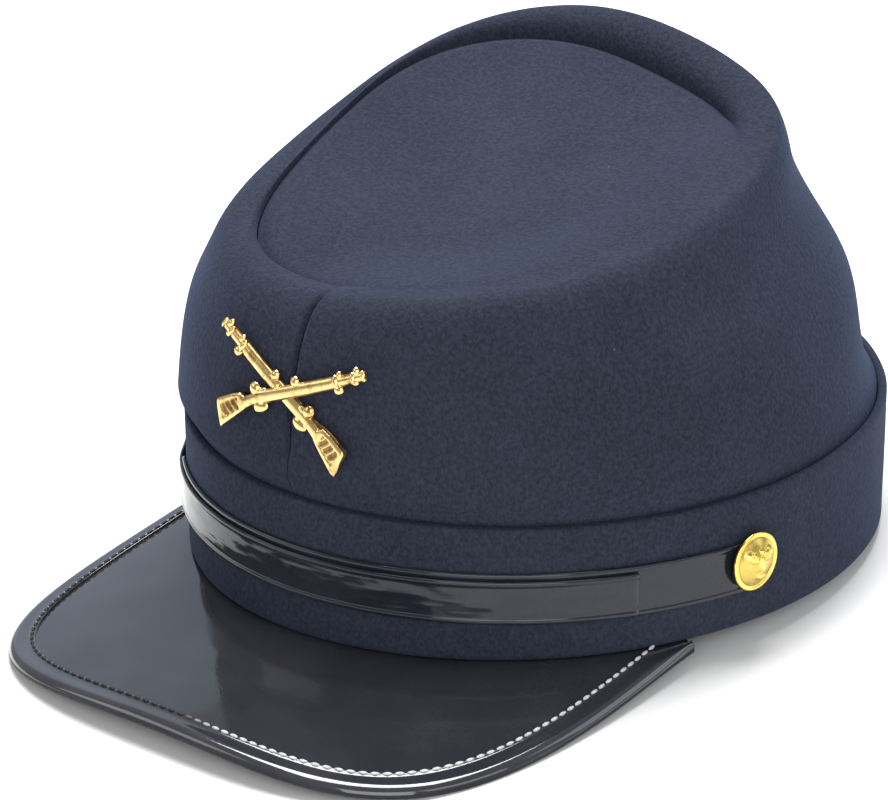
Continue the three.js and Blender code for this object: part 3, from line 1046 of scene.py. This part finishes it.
@dataclass
class Peak:
    """The glossy sloping peak, the folded strip round its edge and the stitches along it.

    The section's insets are shares of the strip's width, and its heights are over the peak. An angle
    on the peak runs round the middle of its back, from a right angle on one side to one on the other.
    """

    shop: Workshop
    half_width: float = 80.6
    start: float = -41.7
    reach: float = 104.9
    squareness: float = 3.67
    front_slope: float = 6.1
    side_slope: float = 22.0
    sheet_wall: float = 1.2
    sheet_inset: float = 1.1
    sheet_steps: tuple[int, int] = (120, 44)
    strip_width: float = 6.8
    strip_wall: float = 0.6
    strip_steps: tuple[int, int] = (220, 68)
    lip_share: float = 0.3
    probe: float = 0.002
    stitch_pitch: float = 2.75
    stitch_size: tuple[float, float, float] = (2.3, 1.0, 0.8)
    stitch_at: float = 0.87
    stitch_height: float = 0.76
    stitch_steps: int = 1400
    stitched: float = 0.475
    highlight_from: Range = (0.01, 0.06)
    section: tuple[SectionPoint, ...] = (
        SectionPoint(0.99, -1.75),
        SectionPoint(0.45, -1.95),
        SectionPoint(0.15, -1.95),
        SectionPoint(0.03, -1.65),
        SectionPoint(0.0, -1.15),
        SectionPoint(0.012, -0.6),
        SectionPoint(0.05, -0.05),
        SectionPoint(0.115, 0.36),
        SectionPoint(0.2, 0.63),
        SectionPoint(0.3, 0.74),
        SectionPoint(0.42, 0.7),
        SectionPoint(0.58, 0.58),
        SectionPoint(0.72, 0.55),
        SectionPoint(0.8, 0.62),
        SectionPoint(0.87, 0.78),
        SectionPoint(0.94, 0.62),
        SectionPoint(0.985, 0.4),
        SectionPoint(1.0, 0.0),
    )

    def outline_place(self, angle: float) -> Vector:
        """Returns a place on the peak's outline, seen from above.

        Args:
            angle: The angle on the peak.

        Returns:
            The place.
        """
        wide = abs(math.sin(angle) / self.half_width) ** self.squareness
        long = abs(math.cos(angle) / self.reach) ** self.squareness
        radius = (wide + long) ** (-1.0 / self.squareness)
        return Vector((radius * math.sin(angle), self.start - radius * math.cos(angle), 0.0))

    def outline(self, angle: float, inset: float) -> Vector:
        """Returns a place inside the outline.

        Args:
            angle: The angle on the peak.
            inset: How far the place lies inside the outline.

        Returns:
            The place.
        """
        ahead, behind = self.outline_place(angle + self.probe), self.outline_place(angle - self.probe)
        along = (ahead - behind).normalized()
        return self.outline_place(angle) + Vector((-along.y, along.x, 0.0)) * inset

    def lifted(self, plan: Vector, height: float) -> Vector:
        """Lifts a place seen from above onto the peak.

        Args:
            plan: The place seen from above.
            height: Its height over the peak's upper face.

        Returns:
            The place.
        """
        form = self.shop.form
        size = math.hypot(plan.x / form.half_width, plan.y / form.half_length)
        beyond = max(0.0, plan.length * (1.0 - 1.0 / size))
        side_share = (plan.x / form.half_width / size) ** 2
        fall = math.tan(math.radians(lerp(self.front_slope, self.side_slope, side_share))) * beyond
        return Vector((plan.x, plan.y, height - form.fit_gap - fall))

    def sheet(self, patent: Material) -> None:
        """Builds the sheet of the peak.

        Args:
            patent: The sheet's material.
        """
        form = self.shop.form
        end_turn = math.acos(-self.start / form.half_length)

        def place(u: float, v: float) -> Vector:
            """Returns a place on the sheet.

            Args:
                u: The share along the peak.
                v: The share of the way from its edge to the band.

            Returns:
                The place.
            """
            angle = math.pi * (u - 0.5)
            seat = form.band_point(angle * end_turn / (math.pi / 2.0), -form.band_wall, 0.0)
            return self.lifted(self.outline(angle, self.sheet_inset).lerp(seat, v), 0.0)

        mesh = self.shop.sheet(*self.sheet_steps, place)
        self.shop.finish("peak_sheet", mesh, [patent], "peak_leather", "peak", self.sheet_wall)

    @staticmethod
    def spline_weights(share: float) -> tuple[float, float, float, float]:
        """Returns how much each of four neighbouring corners counts.

        Args:
            share: The share of the way between the middle two.

        Returns:
            The four weights.
        """
        square = share * share
        cube = square * share
        return (
            (-share + 2.0 * square - cube) / 2.0,
            (2.0 - 5.0 * square + 3.0 * cube) / 2.0,
            (share + 4.0 * square - 3.0 * cube) / 2.0,
            (cube - square) / 2.0,
        )

    def strip_point(self, angle: float, share: float) -> Vector:
        """Returns a place on the edge strip.

        Args:
            angle: The angle on the peak.
            share: The share of the way round its section, from below the peak to above it.

        Returns:
            The place.
        """
        form = self.shop.form
        edge = self.outline(angle, 0.0)
        turn = math.atan2(edge.x / form.half_width, -edge.y / form.half_length)
        room = (edge - form.band_point(turn, 0.0, 0.0)).length - 2.0 * form.fit_gap
        width = min(self.strip_width, room)
        last = len(self.section) - 1
        first = min(int(share * last), last - 1)
        corners = [self.section[min(max(first + step, 0), last)] for step in (-1, 0, 1, 2)]
        weights = self.spline_weights(share * last - first)
        inset = sum(corner.inset * weight for corner, weight in zip(corners, weights)) * width
        height = sum(corner.height * weight for corner, weight in zip(corners, weights))
        return self.lifted(self.outline(angle, inset), height)

    def strip(self, patent: Material, lip: Material) -> None:
        """Builds the folded strip round the edge.

        Args:
            patent: The strip's material.
            lip: The material of its lower half.
        """
        mesh = self.shop.sheet(*self.strip_steps, lambda u, v: self.strip_point(math.pi * (u - 0.5), v))
        layer = mesh.loops.layers.uv["shares"]
        for face in mesh.faces:
            if max(loop[layer].uv.y for loop in face.loops) <= self.lip_share:
                face.material_index = 1
        self.shop.finish("peak_edge_strip", mesh, [patent, lip], "binding_leather", "peak_binding",
                         self.strip_wall)

    def stitch_place(self, share: float) -> Vector:
        """Returns the place of the stitching at a share of the way along the peak, from -0.5 to 0.5."""
        plan = self.outline(math.pi * share, self.strip_width * self.stitch_at)
        return self.lifted(plan, self.stitch_height)

    def add_stitch(self, mesh: Mesh, place: Vector, along: Vector) -> list[bmesh.types.BMVert]:
        """Adds one stitch.

        Args:
            mesh: The mesh that gets the stitch.
            place: The stitch's middle.
            along: The direction that it lies in.

        Returns:
            The stitch's vertices.
        """
        turned = Vector((1.0, 0.0, 0.0)).rotation_difference(along).to_matrix().to_4x4()
        halves = (size / 2.0 for size in self.stitch_size)
        matrix = Matrix.Translation(place) @ turned @ Matrix.Diagonal((*halves, 1.0))
        made = bmesh.ops.create_uvsphere(mesh, u_segments=10, v_segments=6, radius=1.0, matrix=matrix)
        return made["verts"]

    def stitches(self, thread: Material) -> None:
        """Sews the strip to the peak.

        Args:
            thread: The thread's material.
        """
        mesh = bmesh.new()
        # Painted highlight: stitches on one side of the peak are marked to be painted pale, standing in for
        # the highlights they catch there.
        painted_highlight = mesh.verts.layers.float.new("painted_highlight")
        travelled = 0.0
        last = self.stitch_place(-0.5)
        for step in range(1, self.stitch_steps + 1):
            share = step / self.stitch_steps - 0.5
            here = self.stitch_place(share)
            travelled += (here - last).length
            if travelled >= self.stitch_pitch and abs(share) < self.stitched:
                travelled = 0.0
                for vert in self.add_stitch(mesh, here, (here - last).normalized()):
                    vert[painted_highlight] = smooth_step(*self.highlight_from, share)
            last = here
        self.shop.finish("peak_stitches", mesh, [thread], "binding_leather")

    def build(self, patent: Material, edge: Material, lip: Material, thread: Material) -> None:
        """Builds the whole peak.

        Args:
            patent: The sheet's material.
            edge: The edge strip's material.
            lip: The material of the strip's lower half.
            thread: The thread's material.
        """
        self.sheet(patent)
        self.strip(edge, lip)
        self.stitches(thread)


@dataclass
class StrapLength:
    """One length of the chin strap: its ends round the band in degrees, its height and its width."""

    name: str
    from_turn: float
    to_turn: float
    middle: float
    width: float
    lifted: bool


@dataclass
class ChinStrap:
    """The two overlapping lengths of the chin strap."""

    shop: Workshop
    thickness: float = 0.65
    corner: float = 0.28
    gap: float = 0.1
    rise: float = 9.0
    lap: float = 1.5
    drop: float = 1.6
    lean: float = 0.015
    tip: float = 0.02
    bead_width: float = 1.5
    bead_height: float = 0.2
    wave: float = 0.1
    waves_per_degree: float = 0.09
    ripple: float = 0.05
    ripples_per_degree: float = 0.3
    ripples_per_mm: float = 0.5
    steps: tuple[int, int] = (200, 128)
    under: StrapLength = field(
        default_factory=lambda: StrapLength("strap_under", 74.6, -40.0, 17.3, 13.0, False))
    over: StrapLength = field(
        default_factory=lambda: StrapLength("strap_over", -74.6, 56.0, 16.6, 11.0, True))

    def lift(self, length: StrapLength, turn: float) -> float:
        """Returns how far a strap length stands off the band.

        Args:
            length: The strap length.
            turn: The angle round the band in degrees.

        Returns:
            The distance.
        """
        if not length.lifted:
            return self.gap
        raised = smooth_step(self.under.to_turn - self.rise, self.under.to_turn - self.lap, turn)
        return self.gap + raised * (self.thickness + self.gap)

    def unevenness(self, length: StrapLength, turn: float, up: float) -> float:
        """Returns how much a strap length's outer face is raised by its beaded edges and its waves.

        Args:
            length: The strap length.
            turn: The angle round the band in degrees.
            up: The place above the middle of the strap.

        Returns:
            The height.
        """
        inside = min((length.width / 2.0 - abs(up)) / self.bead_width, 1.0)
        bead = self.bead_height * math.sin(math.pi * inside)
        wave = noise.noise(Vector((turn * self.waves_per_degree, 3.0 + length.middle, 0.0)))
        spot = Vector((turn * self.ripples_per_degree, up * self.ripples_per_mm, length.middle))
        return wave * self.wave + bead + noise.noise(spot) * self.ripple

    def length(self, length: StrapLength, patent: Material) -> None:
        """Builds one strap length.

        Args:
            length: Its sizes.
            patent: Its material.
        """
        form = self.shop.form
        sense = math.copysign(1.0, length.to_turn - length.from_turn)
        radius = length.width / 2.0
        end = math.degrees(radius / ((form.half_length + form.half_width) / 2.0))

        def place(u: float, v: float) -> Vector:
            """Returns a place on the strap length.

            Args:
                u: The share along the strap, from its rounded end.
                v: The share round its section.

            Returns:
                The place.
            """
            turn = lerp(length.from_turn - sense * end, length.to_turn, u)
            past = min(1.0, max(0.0, sense * (length.from_turn - turn) / end))
            half = radius * math.sqrt(max(0.0, 1.0 - past * past)) + self.tip
            out, up = rounded_section(self.thickness, length.width, self.corner, v)
            height = length.middle - self.drop * math.sin(math.radians(turn)) + up * half / radius
            lift = self.lift(length, turn) + self.thickness / 2.0 + self.lean * (up + radius) + out
            if out > 0.0:
                lift += self.unevenness(length, turn, up)
            return form.band_point(math.radians(turn), lift, height)

        mesh = self.shop.sheet(*self.steps, place)
        self.shop.close(mesh)
        self.shop.finish(f"{length.name}_leather", mesh, [patent], "strap_leather", length.name)

    def build(self, patent: Material) -> None:
        """Builds both strap lengths."""
        for length in (self.under, self.over):
            self.length(length, patent)


@dataclass
class Lobe:
    """A soft oval of the bird on a button, in shares of the face's radius."""

    right: float
    up: float
    half_width: float
    half_height: float
    soft_from: float = 0.5

    def height(self, x: float, y: float) -> float:
        """Returns the oval's height at a place, from 0 to 1."""
        out = math.hypot((x - self.right) / self.half_width, (y - self.up) / self.half_height)
        return 1.0 - smooth_step(self.soft_from, 1.0, out)


@dataclass
class Buttons:
    """The two domed brass buttons at the ends of the strap, each with a plain spread-winged bird."""

    shop: Workshop
    turn: float = 75.2
    facing: float = 81.0
    height: float = 18.7
    drop: float = 1.6
    radius: float = 7.5
    back: float = 1.5
    face_radius: float = 6.35
    face_height: float = 0.75
    face_steps: int = 30
    dome: float = 2.0
    dome_power: float = 2.2
    spin_steps: int = 72
    relief: float = 0.8
    ground_below: Range = (0.0, 0.5)
    ground_shade: float = 0.4
    edge_from: Range = (0.9, 1.0)
    edge_shade: float = 0.5
    rim: tuple[SectionPoint, ...] = (
        SectionPoint(0.45, 0.0),
        SectionPoint(0.1, 0.2),
        SectionPoint(0.0, 0.55),
        SectionPoint(0.15, 0.95),
        SectionPoint(0.55, 1.0),
        SectionPoint(0.95, 0.85),
    )
    body: tuple[Lobe, ...] = (
        Lobe(0.0, -0.02, 0.2, 0.42),
        Lobe(0.05, 0.46, 0.14, 0.15),
        Lobe(0.0, -0.52, 0.26, 0.2),
    )
    wing: Lobe = field(default_factory=lambda: Lobe(0.42, 0.16, 0.36, 0.24, 0.55))
    wing_rise: float = 0.35
    feather_depth: float = 0.2
    feathers: float = 26.0
    feather_slant: float = 0.4

    def profile(self) -> list[Vector]:
        """Returns the button's turned profile.

        Returns:
            The corners, from the middle of its back round its rim to the middle of its face.
        """
        corners = [Vector((0.0, 0.0, self.back))]
        for point in self.rim:
            corners.append(Vector((self.radius - point.inset, 0.0, self.back + point.height)))
        for step in range(self.face_steps + 1):
            share = 1.0 - step / self.face_steps
            rise = self.face_height + self.dome * (1.0 - share**self.dome_power)
            corners.append(Vector((self.face_radius * share, 0.0, self.back + rise)))
        return corners

    def bird(self, x: float, y: float) -> float:
        """Returns the height of the bird on the button's face.

        Args:
            x: The place to the right, as a share of the face's radius.
            y: The place upwards.

        Returns:
            The height, from 0 to 1.
        """
        out = abs(x)
        wave = math.cos(self.feathers * (out + self.feather_slant * y))
        wing = self.wing.height(out, y - self.wing_rise * out)
        ribbed = wing * (1.0 - self.feather_depth + self.feather_depth * wave)
        return max(ribbed, *(lobe.height(x, y) for lobe in self.body))

    def stamp(self, mesh: Mesh) -> None:
        """Raises the bird on a button's face and marks painted shade on the ground round it and at the
        face's edge.

        Args:
            mesh: The turned button.
        """
        painted_shade = mesh.verts.layers.float.new("painted_shade")
        for vert in mesh.verts:
            x, y = vert.co.x / self.face_radius, vert.co.y / self.face_radius
            reach = math.hypot(x, y)
            if reach < 1.0 and vert.co.z > self.back + self.face_height / 2.0:
                raised = self.bird(x, y)
                ground = 1.0 - smooth_step(*self.ground_below, raised)
                edge = smooth_step(*self.edge_from, reach)
                vert.co.z += self.relief * raised
                # Painted shade: the flat ground round the bird and the edge of the face are marked to be
                # darkened in the brass's colour.
                vert[painted_shade] = ground * self.ground_shade + edge * self.edge_shade

    def button(self, side: Side, brass: Material) -> None:
        """Builds one button.

        Args:
            side: The wearer's side.
            brass: The button's material.
        """
        form = self.shop.form
        mesh = bmesh.new()
        points = [mesh.verts.new(corner) for corner in self.profile()]
        edges = [mesh.edges.new(pair) for pair in zip(points, points[1:])]
        bmesh.ops.spin(mesh, geom=points + edges, cent=(0.0, 0.0, 0.0), axis=UP,
                       angle=2.0 * math.pi, steps=self.spin_steps, use_merge=True)
        self.shop.close(mesh)
        self.stamp(mesh)
        turn = math.radians(side.value * self.turn)
        outward = form.outward(math.radians(side.value * self.facing))
        axes = Matrix((UP.cross(outward), UP, outward)).transposed().to_4x4()
        place = form.band_point(turn, 0.0, self.height - self.drop * math.sin(turn))
        bmesh.ops.transform(mesh, matrix=Matrix.Translation(place) @ axes, verts=mesh.verts)
        bmesh.ops.recalc_face_normals(mesh, faces=mesh.faces)
        self.shop.finish(f"button_{side.label}_dome", mesh, [brass], "button_brass", f"button_{side.label}")

    def build(self, brass: Material) -> None:
        """Builds both buttons."""
        for side in Side:
            self.button(side, brass)


@dataclass
class RifleStation:
    """A place along a rifle from butt to muzzle: its edges, and the height and roundness of its face."""

    at: float
    upper: float
    lower: float
    height: float
    roundness: float

    @property
    def middle(self) -> float:
        """The middle between the edges."""
        return (self.upper + self.lower) / 2.0

    @property
    def half(self) -> float:
        """Half the way from edge to edge."""
        return (self.upper - self.lower) / 2.0

    def toward(self, other: RifleStation, at: float) -> RifleStation:
        """Returns the sizes at a place between this station and another.

        Args:
            other: The other station.
            at: The place along the rifle.

        Returns:
            The station there.
        """
        share = (at - self.at) / (other.at - self.at)
        names = ("upper", "lower", "height", "roundness")
        return RifleStation(at, *(lerp(getattr(self, name), getattr(other, name), share) for name in names))


@dataclass
class Fitting:
    """A rounded fitting of a rifle: its place along and across it, half its sizes and its height."""

    at: float
    across: float
    half_length: float
    half_width: float
    height: float


@dataclass
class Badge:
    """The brass badge of two crossed rifles, laid over the front of the crown."""

    shop: Workshop
    height: float = 61.3
    sideways: float = -1.5
    under_slide: float = 0.96
    upper_slide: float = 2.3
    spread: float = 25.6
    tilt: float = -5.1
    follow: float = 0.25
    thickness: float = 1.5
    edge_height: float = 0.35
    face_share: float = 0.7
    lift: float = 0.6
    engraving: float = 0.4
    panel_start: Range = (-22.4, -22.0)
    panel_end: Range = (-16.6, -16.2)
    panel_edge: Range = (0.48, 0.6)
    rib_radians_per_mm: float = 3.4
    rib_slant: float = 1.3
    rib_height: float = 0.75
    rib_flank: Range = (0.1, 0.6)
    shade_below: Range = (0.35, 0.9)
    probe: float = 0.01
    steps: tuple[int, int] = (200, 44)
    stations: tuple[RifleStation, ...] = (
        RifleStation(-24.2, -3.2, -5.4, 0.7, 7.0),
        RifleStation(-23.6, 0.9, -5.5, 0.95, 8.0),
        RifleStation(-23.0, 1.5, -5.2, 1.0, 8.0),
        RifleStation(-18.0, 2.0, -3.5, 1.0, 7.0),
        RifleStation(-15.4, 1.9, -2.6, 1.0, 5.0),
        RifleStation(-14.4, 0.8, -2.2, 0.95, 3.0),
        RifleStation(-12.0, 1.2, -1.8, 0.95, 2.4),
        RifleStation(-8.0, 1.7, -1.7, 1.0, 2.4),
        RifleStation(3.0, 1.7, -1.7, 0.95, 2.2),
        RifleStation(14.6, 1.55, -1.55, 0.9, 2.1),
        RifleStation(15.6, 1.3, -1.3, 0.85, 2.0),
        RifleStation(24.0, 1.2, -1.2, 0.85, 2.0),
    )
    fittings: tuple[Fitting, ...] = (
        Fitting(-9.9, 2.2, 1.6, 1.8, 2.1),
        Fitting(-8.2, 1.4, 1.8, 0.9, 1.8),
        Fitting(-9.4, -2.3, 2.4, 1.6, 1.6),
        Fitting(-3.0, 1.6, 0.9, 0.7, 1.7),
        Fitting(3.1, 2.0, 1.3, 1.5, 2.0),
        Fitting(15.2, 0.0, 0.9, 1.9, 1.8),
        Fitting(15.7, -1.9, 1.4, 1.3, 1.7),
        Fitting(16.6, 1.3, 0.8, 1.2, 1.6),
        Fitting(20.4, 0.0, 0.8, 1.6, 1.7),
        Fitting(21.8, 1.4, 0.9, 1.2, 1.6),
        Fitting(20.9, -1.1, 0.9, 0.8, 1.4),
        Fitting(23.5, 0.0, 0.65, 1.45, 1.6),
    )

    def station(self, at: float) -> RifleStation:
        """Returns the rifle's sizes at a place along it.

        Args:
            at: The place along the rifle.

        Returns:
            The station there.
        """
        for first, second in zip(self.stations, self.stations[1:]):
            if at <= second.at:
                return first.toward(second, at)
        return self.stations[-1]

    def panel(self, at: float, across: float) -> float:
        """Returns how deep the engraving of the stock is at a place, from 0 to 1.

        Args:
            at: The place along the rifle.
            across: The place across it, from -1 to 1.

        Returns:
            The depth: a sunk panel with a few raised slanting ribs.
        """
        along = smooth_step(*self.panel_start, at) * (1.0 - smooth_step(*self.panel_end, at))
        sunk = along * (1.0 - smooth_step(*self.panel_edge, abs(across)))
        wave = math.cos(self.rib_radians_per_mm * (at + self.rib_slant * across))
        ribs = smooth_step(*self.rib_flank, wave)
        return sunk * (1.0 - self.rib_height * ribs)

    def ground(self, right: float, up: float) -> tuple[Vector, Vector]:
        """Returns the back of the badge at a place on it, and the direction out of it.

        Args:
            right: The place to the right of the badge's middle.
            up: The place above it.

        Returns:
            The place between flat and the crown's curve, and the direction.
        """
        form = self.shop.form
        share = (self.height - form.band_top(0.0)) / (form.crest_height(0.0) - form.band_top(0.0))
        here = form.wall_point(0.0, share)
        per_turn = (form.wall_point(self.probe, share) - here).length / self.probe
        per_share = (form.wall_point(0.0, share + self.probe) - here).length / self.probe
        middle, across, outward = form.wall_frame(self.sideways / per_turn, share)
        under, _, tilted = form.wall_frame((self.sideways + right) / per_turn, share + up / per_share)
        flat = middle + across * right + outward.cross(across) * up
        return flat.lerp(under, self.follow), outward.lerp(tilted, self.follow).normalized()

    def lay(self, mesh: Mesh, side: Side, slide: float, lift: float) -> None:
        """Lays a flat rifle over the crown.

        Args:
            mesh: The rifle, with its muzzle to the right and its thickness along Z.
            side: The side that its muzzle ends on.
            slide: How far it is moved towards its muzzle.
            lift: How far it is raised.
        """
        angle = math.radians(side.value * self.spread + self.tilt)
        for vert in mesh.verts:
            at = (vert.co.x + slide) * side.value
            right = at * math.cos(angle) - vert.co.y * math.sin(angle)
            up = at * math.sin(angle) + vert.co.y * math.cos(angle)
            place, outward = self.ground(right, up)
            vert.co = place + outward * (vert.co.z + lift + self.shop.form.fit_gap)
        bmesh.ops.recalc_face_normals(mesh, faces=mesh.faces)

    def add_fittings(self, mesh: Mesh) -> None:
        """Adds the lock, the guard, the bands and the sights of a rifle.

        Args:
            mesh: The flat rifle.
        """
        for fitting in self.fittings:
            size = Matrix.Diagonal((fitting.half_length, fitting.half_width, fitting.height / 2.0, 1.0))
            matrix = Matrix.Translation((fitting.at, fitting.across, fitting.height / 2.0)) @ size
            bmesh.ops.create_uvsphere(mesh, u_segments=18, v_segments=10, radius=1.0, matrix=matrix)

    def rifle(self, side: Side, slide: float, lift: float) -> Mesh:
        """Builds one rifle.

        Args:
            side: The side that its muzzle ends on.
            slide: How far it is moved towards its muzzle.
            lift: How far it is raised over the crown.

        Returns:
            The rifle's mesh in the cap's own frame.
        """
        def place(u: float, v: float) -> Vector:
            """Returns a place on the flat rifle.

            Args:
                u: The share along the rifle.
                v: The share round its section: its face first, and then its back.

            Returns:
                The place.
            """
            at = lerp(self.stations[0].at, self.stations[-1].at, u)
            station = self.station(at)
            if v >= self.face_share:
                across = lerp(-1.0, 1.0, (v - self.face_share) / (1.0 - self.face_share))
                return Vector((at, station.middle + station.half * across, 0.0))
            across = math.cos(math.pi * v / self.face_share)
            rounding = max(0.0, 1.0 - abs(across) ** station.roundness) ** (1.0 / station.roundness)
            face = self.thickness * station.height * lerp(self.edge_height, 1.0, rounding)
            depth = self.engraving * self.panel(at, across)
            return Vector((at, station.middle + station.half * across, face - depth))

        mesh = self.shop.sheet(*self.steps, place)
        painted_shade = mesh.verts.layers.float.new("painted_shade")
        self.shop.close(mesh)
        # Painted shade: the low sides of the relief and the sunk panel of the stock are marked to be
        # darkened in the brass's colour.
        for vert in mesh.verts:
            station = self.station(vert.co.x)
            low = 1.0 - smooth_step(*self.shade_below, vert.co.z / self.thickness)
            vert[painted_shade] = max(low, self.panel(vert.co.x, (vert.co.y - station.middle) / station.half))
        self.add_fittings(mesh)
        self.lay(mesh, side, slide, lift)
        return mesh

    def build(self, brass: Material) -> None:
        """Builds the badge.

        Args:
            brass: The badge's material.
        """
        mesh = self.rifle(Side.RIGHT, self.under_slide, 0.0)
        upper = self.rifle(Side.LEFT, self.upper_slide, self.lift)
        data = bpy.data.meshes.new("upper_rifle")
        upper.to_mesh(data)
        upper.free()
        mesh.from_mesh(data)
        bpy.data.meshes.remove(data)
        self.shop.finish("badge_rifles", mesh, [brass], "badge_brass", "badge")


@dataclass
class Lamp:
    """A soft lamp: the place it stands at, its size, its power, its colour and what it faces."""

    name: str
    place: tuple[float, float, float]
    width: float
    height: float
    power: float
    color: Color = (1.0, 1.0, 1.0)
    target: tuple[float, float, float] = (0.0, 0.0, 0.06)

    def build(self) -> None:
        """Adds the lamp to the scene."""
        data = bpy.data.lights.new(self.name, "AREA")
        data.shape = "RECTANGLE"
        data.size = self.width
        data.size_y = self.height
        data.energy = self.power
        data.color = self.color
        lamp = bpy.data.objects.new(self.name, data)
        lamp.location = self.place
        facing = Vector(self.target) - Vector(self.place)
        lamp.rotation_euler = facing.to_track_quat("-Z", "Y").to_euler()
        bpy.context.scene.collection.objects.link(lamp)


@dataclass
class Studio:
    """The floor, the light and the camera."""

    form: CapForm
    azimuth: float = 38.14
    elevation: float = 22.82
    distance: float = 850.0
    focal_pixels: float = 3201.6
    image_width: float = 888.0
    middle_right: float = 94.16
    middle_down: float = 108.97
    sensor: float = 36.0
    clip_start: float = 0.01
    floor_half: float = 6.0
    world_strength: float = 0.32
    lamps: tuple[Lamp, ...] = (
        Lamp("overhead", (-0.24, 0.30, 1.2), 0.8, 0.8, 26.5),
        Lamp("left_back", (-1.0, 1.1, 0.5), 1.6, 1.0, 1.8, (0.5, 0.7, 1.0)),
        Lamp("front_left", (-1.1, -1.0, 0.9), 0.8, 0.8, 3.5),
        Lamp("front_fill", (0.95, -1.15, 0.65), 1.2, 1.0, 11.0),
        Lamp("right", (1.3, -0.1, 0.74), 0.9, 0.5, 2.6),
        Lamp("right_back", (1.1, 0.9, 0.7), 0.5, 1.0, 2.5, (0.78, 0.9, 1.0)),
    )

    def floor(self) -> None:
        """Lays the floor."""
        mesh = bmesh.new()
        bmesh.ops.create_grid(mesh, x_segments=8, y_segments=8, size=self.floor_half)
        data = bpy.data.meshes.new("floor")
        mesh.to_mesh(data)
        mesh.free()
        data.materials.append(FloorFinish().material())
        floor = bpy.data.objects.new("floor", data)
        bpy.context.scene.collection.objects.link(floor)

    def world(self) -> None:
        """Sets the soft light from all round."""
        world = bpy.data.worlds.new("soft_room")
        world.use_nodes = True
        background = world.node_tree.nodes["Background"]
        background.inputs["Color"].default_value = (1.0, 1.0, 1.0, 1.0)
        background.inputs["Strength"].default_value = self.world_strength
        bpy.context.scene.world = world
        bpy.context.scene.view_settings.view_transform = "Standard"

    def camera(self) -> None:
        """Places the camera at the photograph's angle to the cap."""
        azimuth, elevation = math.radians(self.azimuth), math.radians(self.elevation)
        right = Vector((math.cos(azimuth), math.sin(azimuth), 0.0))
        back = right.cross(UP) * math.cos(elevation) + UP * math.sin(elevation)
        axes = Matrix((right, back.cross(right), back)).transposed()
        seen = Vector((self.middle_right, -self.middle_down, -self.focal_pixels)).normalized()
        swing = seen.rotation_difference(-UP).to_matrix()
        tilt = Matrix.Rotation(math.radians(-self.form.tilt), 3, "X")
        data = bpy.data.cameras.new("camera")
        data.sensor_width = self.sensor
        data.sensor_fit = "HORIZONTAL"
        data.lens = self.focal_pixels / self.image_width * self.sensor
        data.clip_start = self.clip_start
        camera = bpy.data.objects.new("camera", data)
        place = self.form.to_floor @ (back * self.distance)
        camera.matrix_world = Matrix.Translation(place) @ (tilt @ axes @ swing).to_4x4()
        bpy.context.scene.collection.objects.link(camera)
        bpy.context.scene.camera = camera

    def build(self) -> None:
        """Builds the whole studio."""
        self.floor()
        self.world()
        for lamp in self.lamps:
            lamp.build()
        self.camera()


def main() -> None:
    """Builds the studio and the cap."""
    logging.basicConfig(level=logging.INFO, format="%(name)s %(message)s")
    form = CapForm()
    shop = Workshop(form)
    wool = WoolFinish().material()
    patent = PatentFinish().material()
    edge = PatentFinish(name="edge_patent", gloss=0.07, coat=0.8).material()
    lip = PatentFinish(name="edge_lip", gloss=0.4, specular=0.12, coat=0.0).material()
    strap = PatentFinish(
        name="strap_patent",
        ground=(0.011, 0.013, 0.021),
        worn=(0.021, 0.024, 0.034),
        gloss=0.07,
        specular=0.38,
        coat=0.15,
        streaks=0.25,
    ).material()
    badge_brass = BrassFinish("badge_brass", (0.95, 0.68, 0.29), 0.12, 0.65).material()
    button_brass = BrassFinish("button_brass", (1.0, 0.74, 0.18), 0.1).material()
    thread = ThreadFinish().material()
    Studio(form).build()
    Crown(shop).build(wool)
    HeadBand(shop).build(wool)
    Peak(shop).build(patent, edge, lip, thread)
    ChinStrap(shop).build(strap)
    Buttons(shop).build(button_brass)
    Badge(shop).build(badge_brass)
    bpy.context.view_layer.update()


if __name__ == "__main__":
    main()
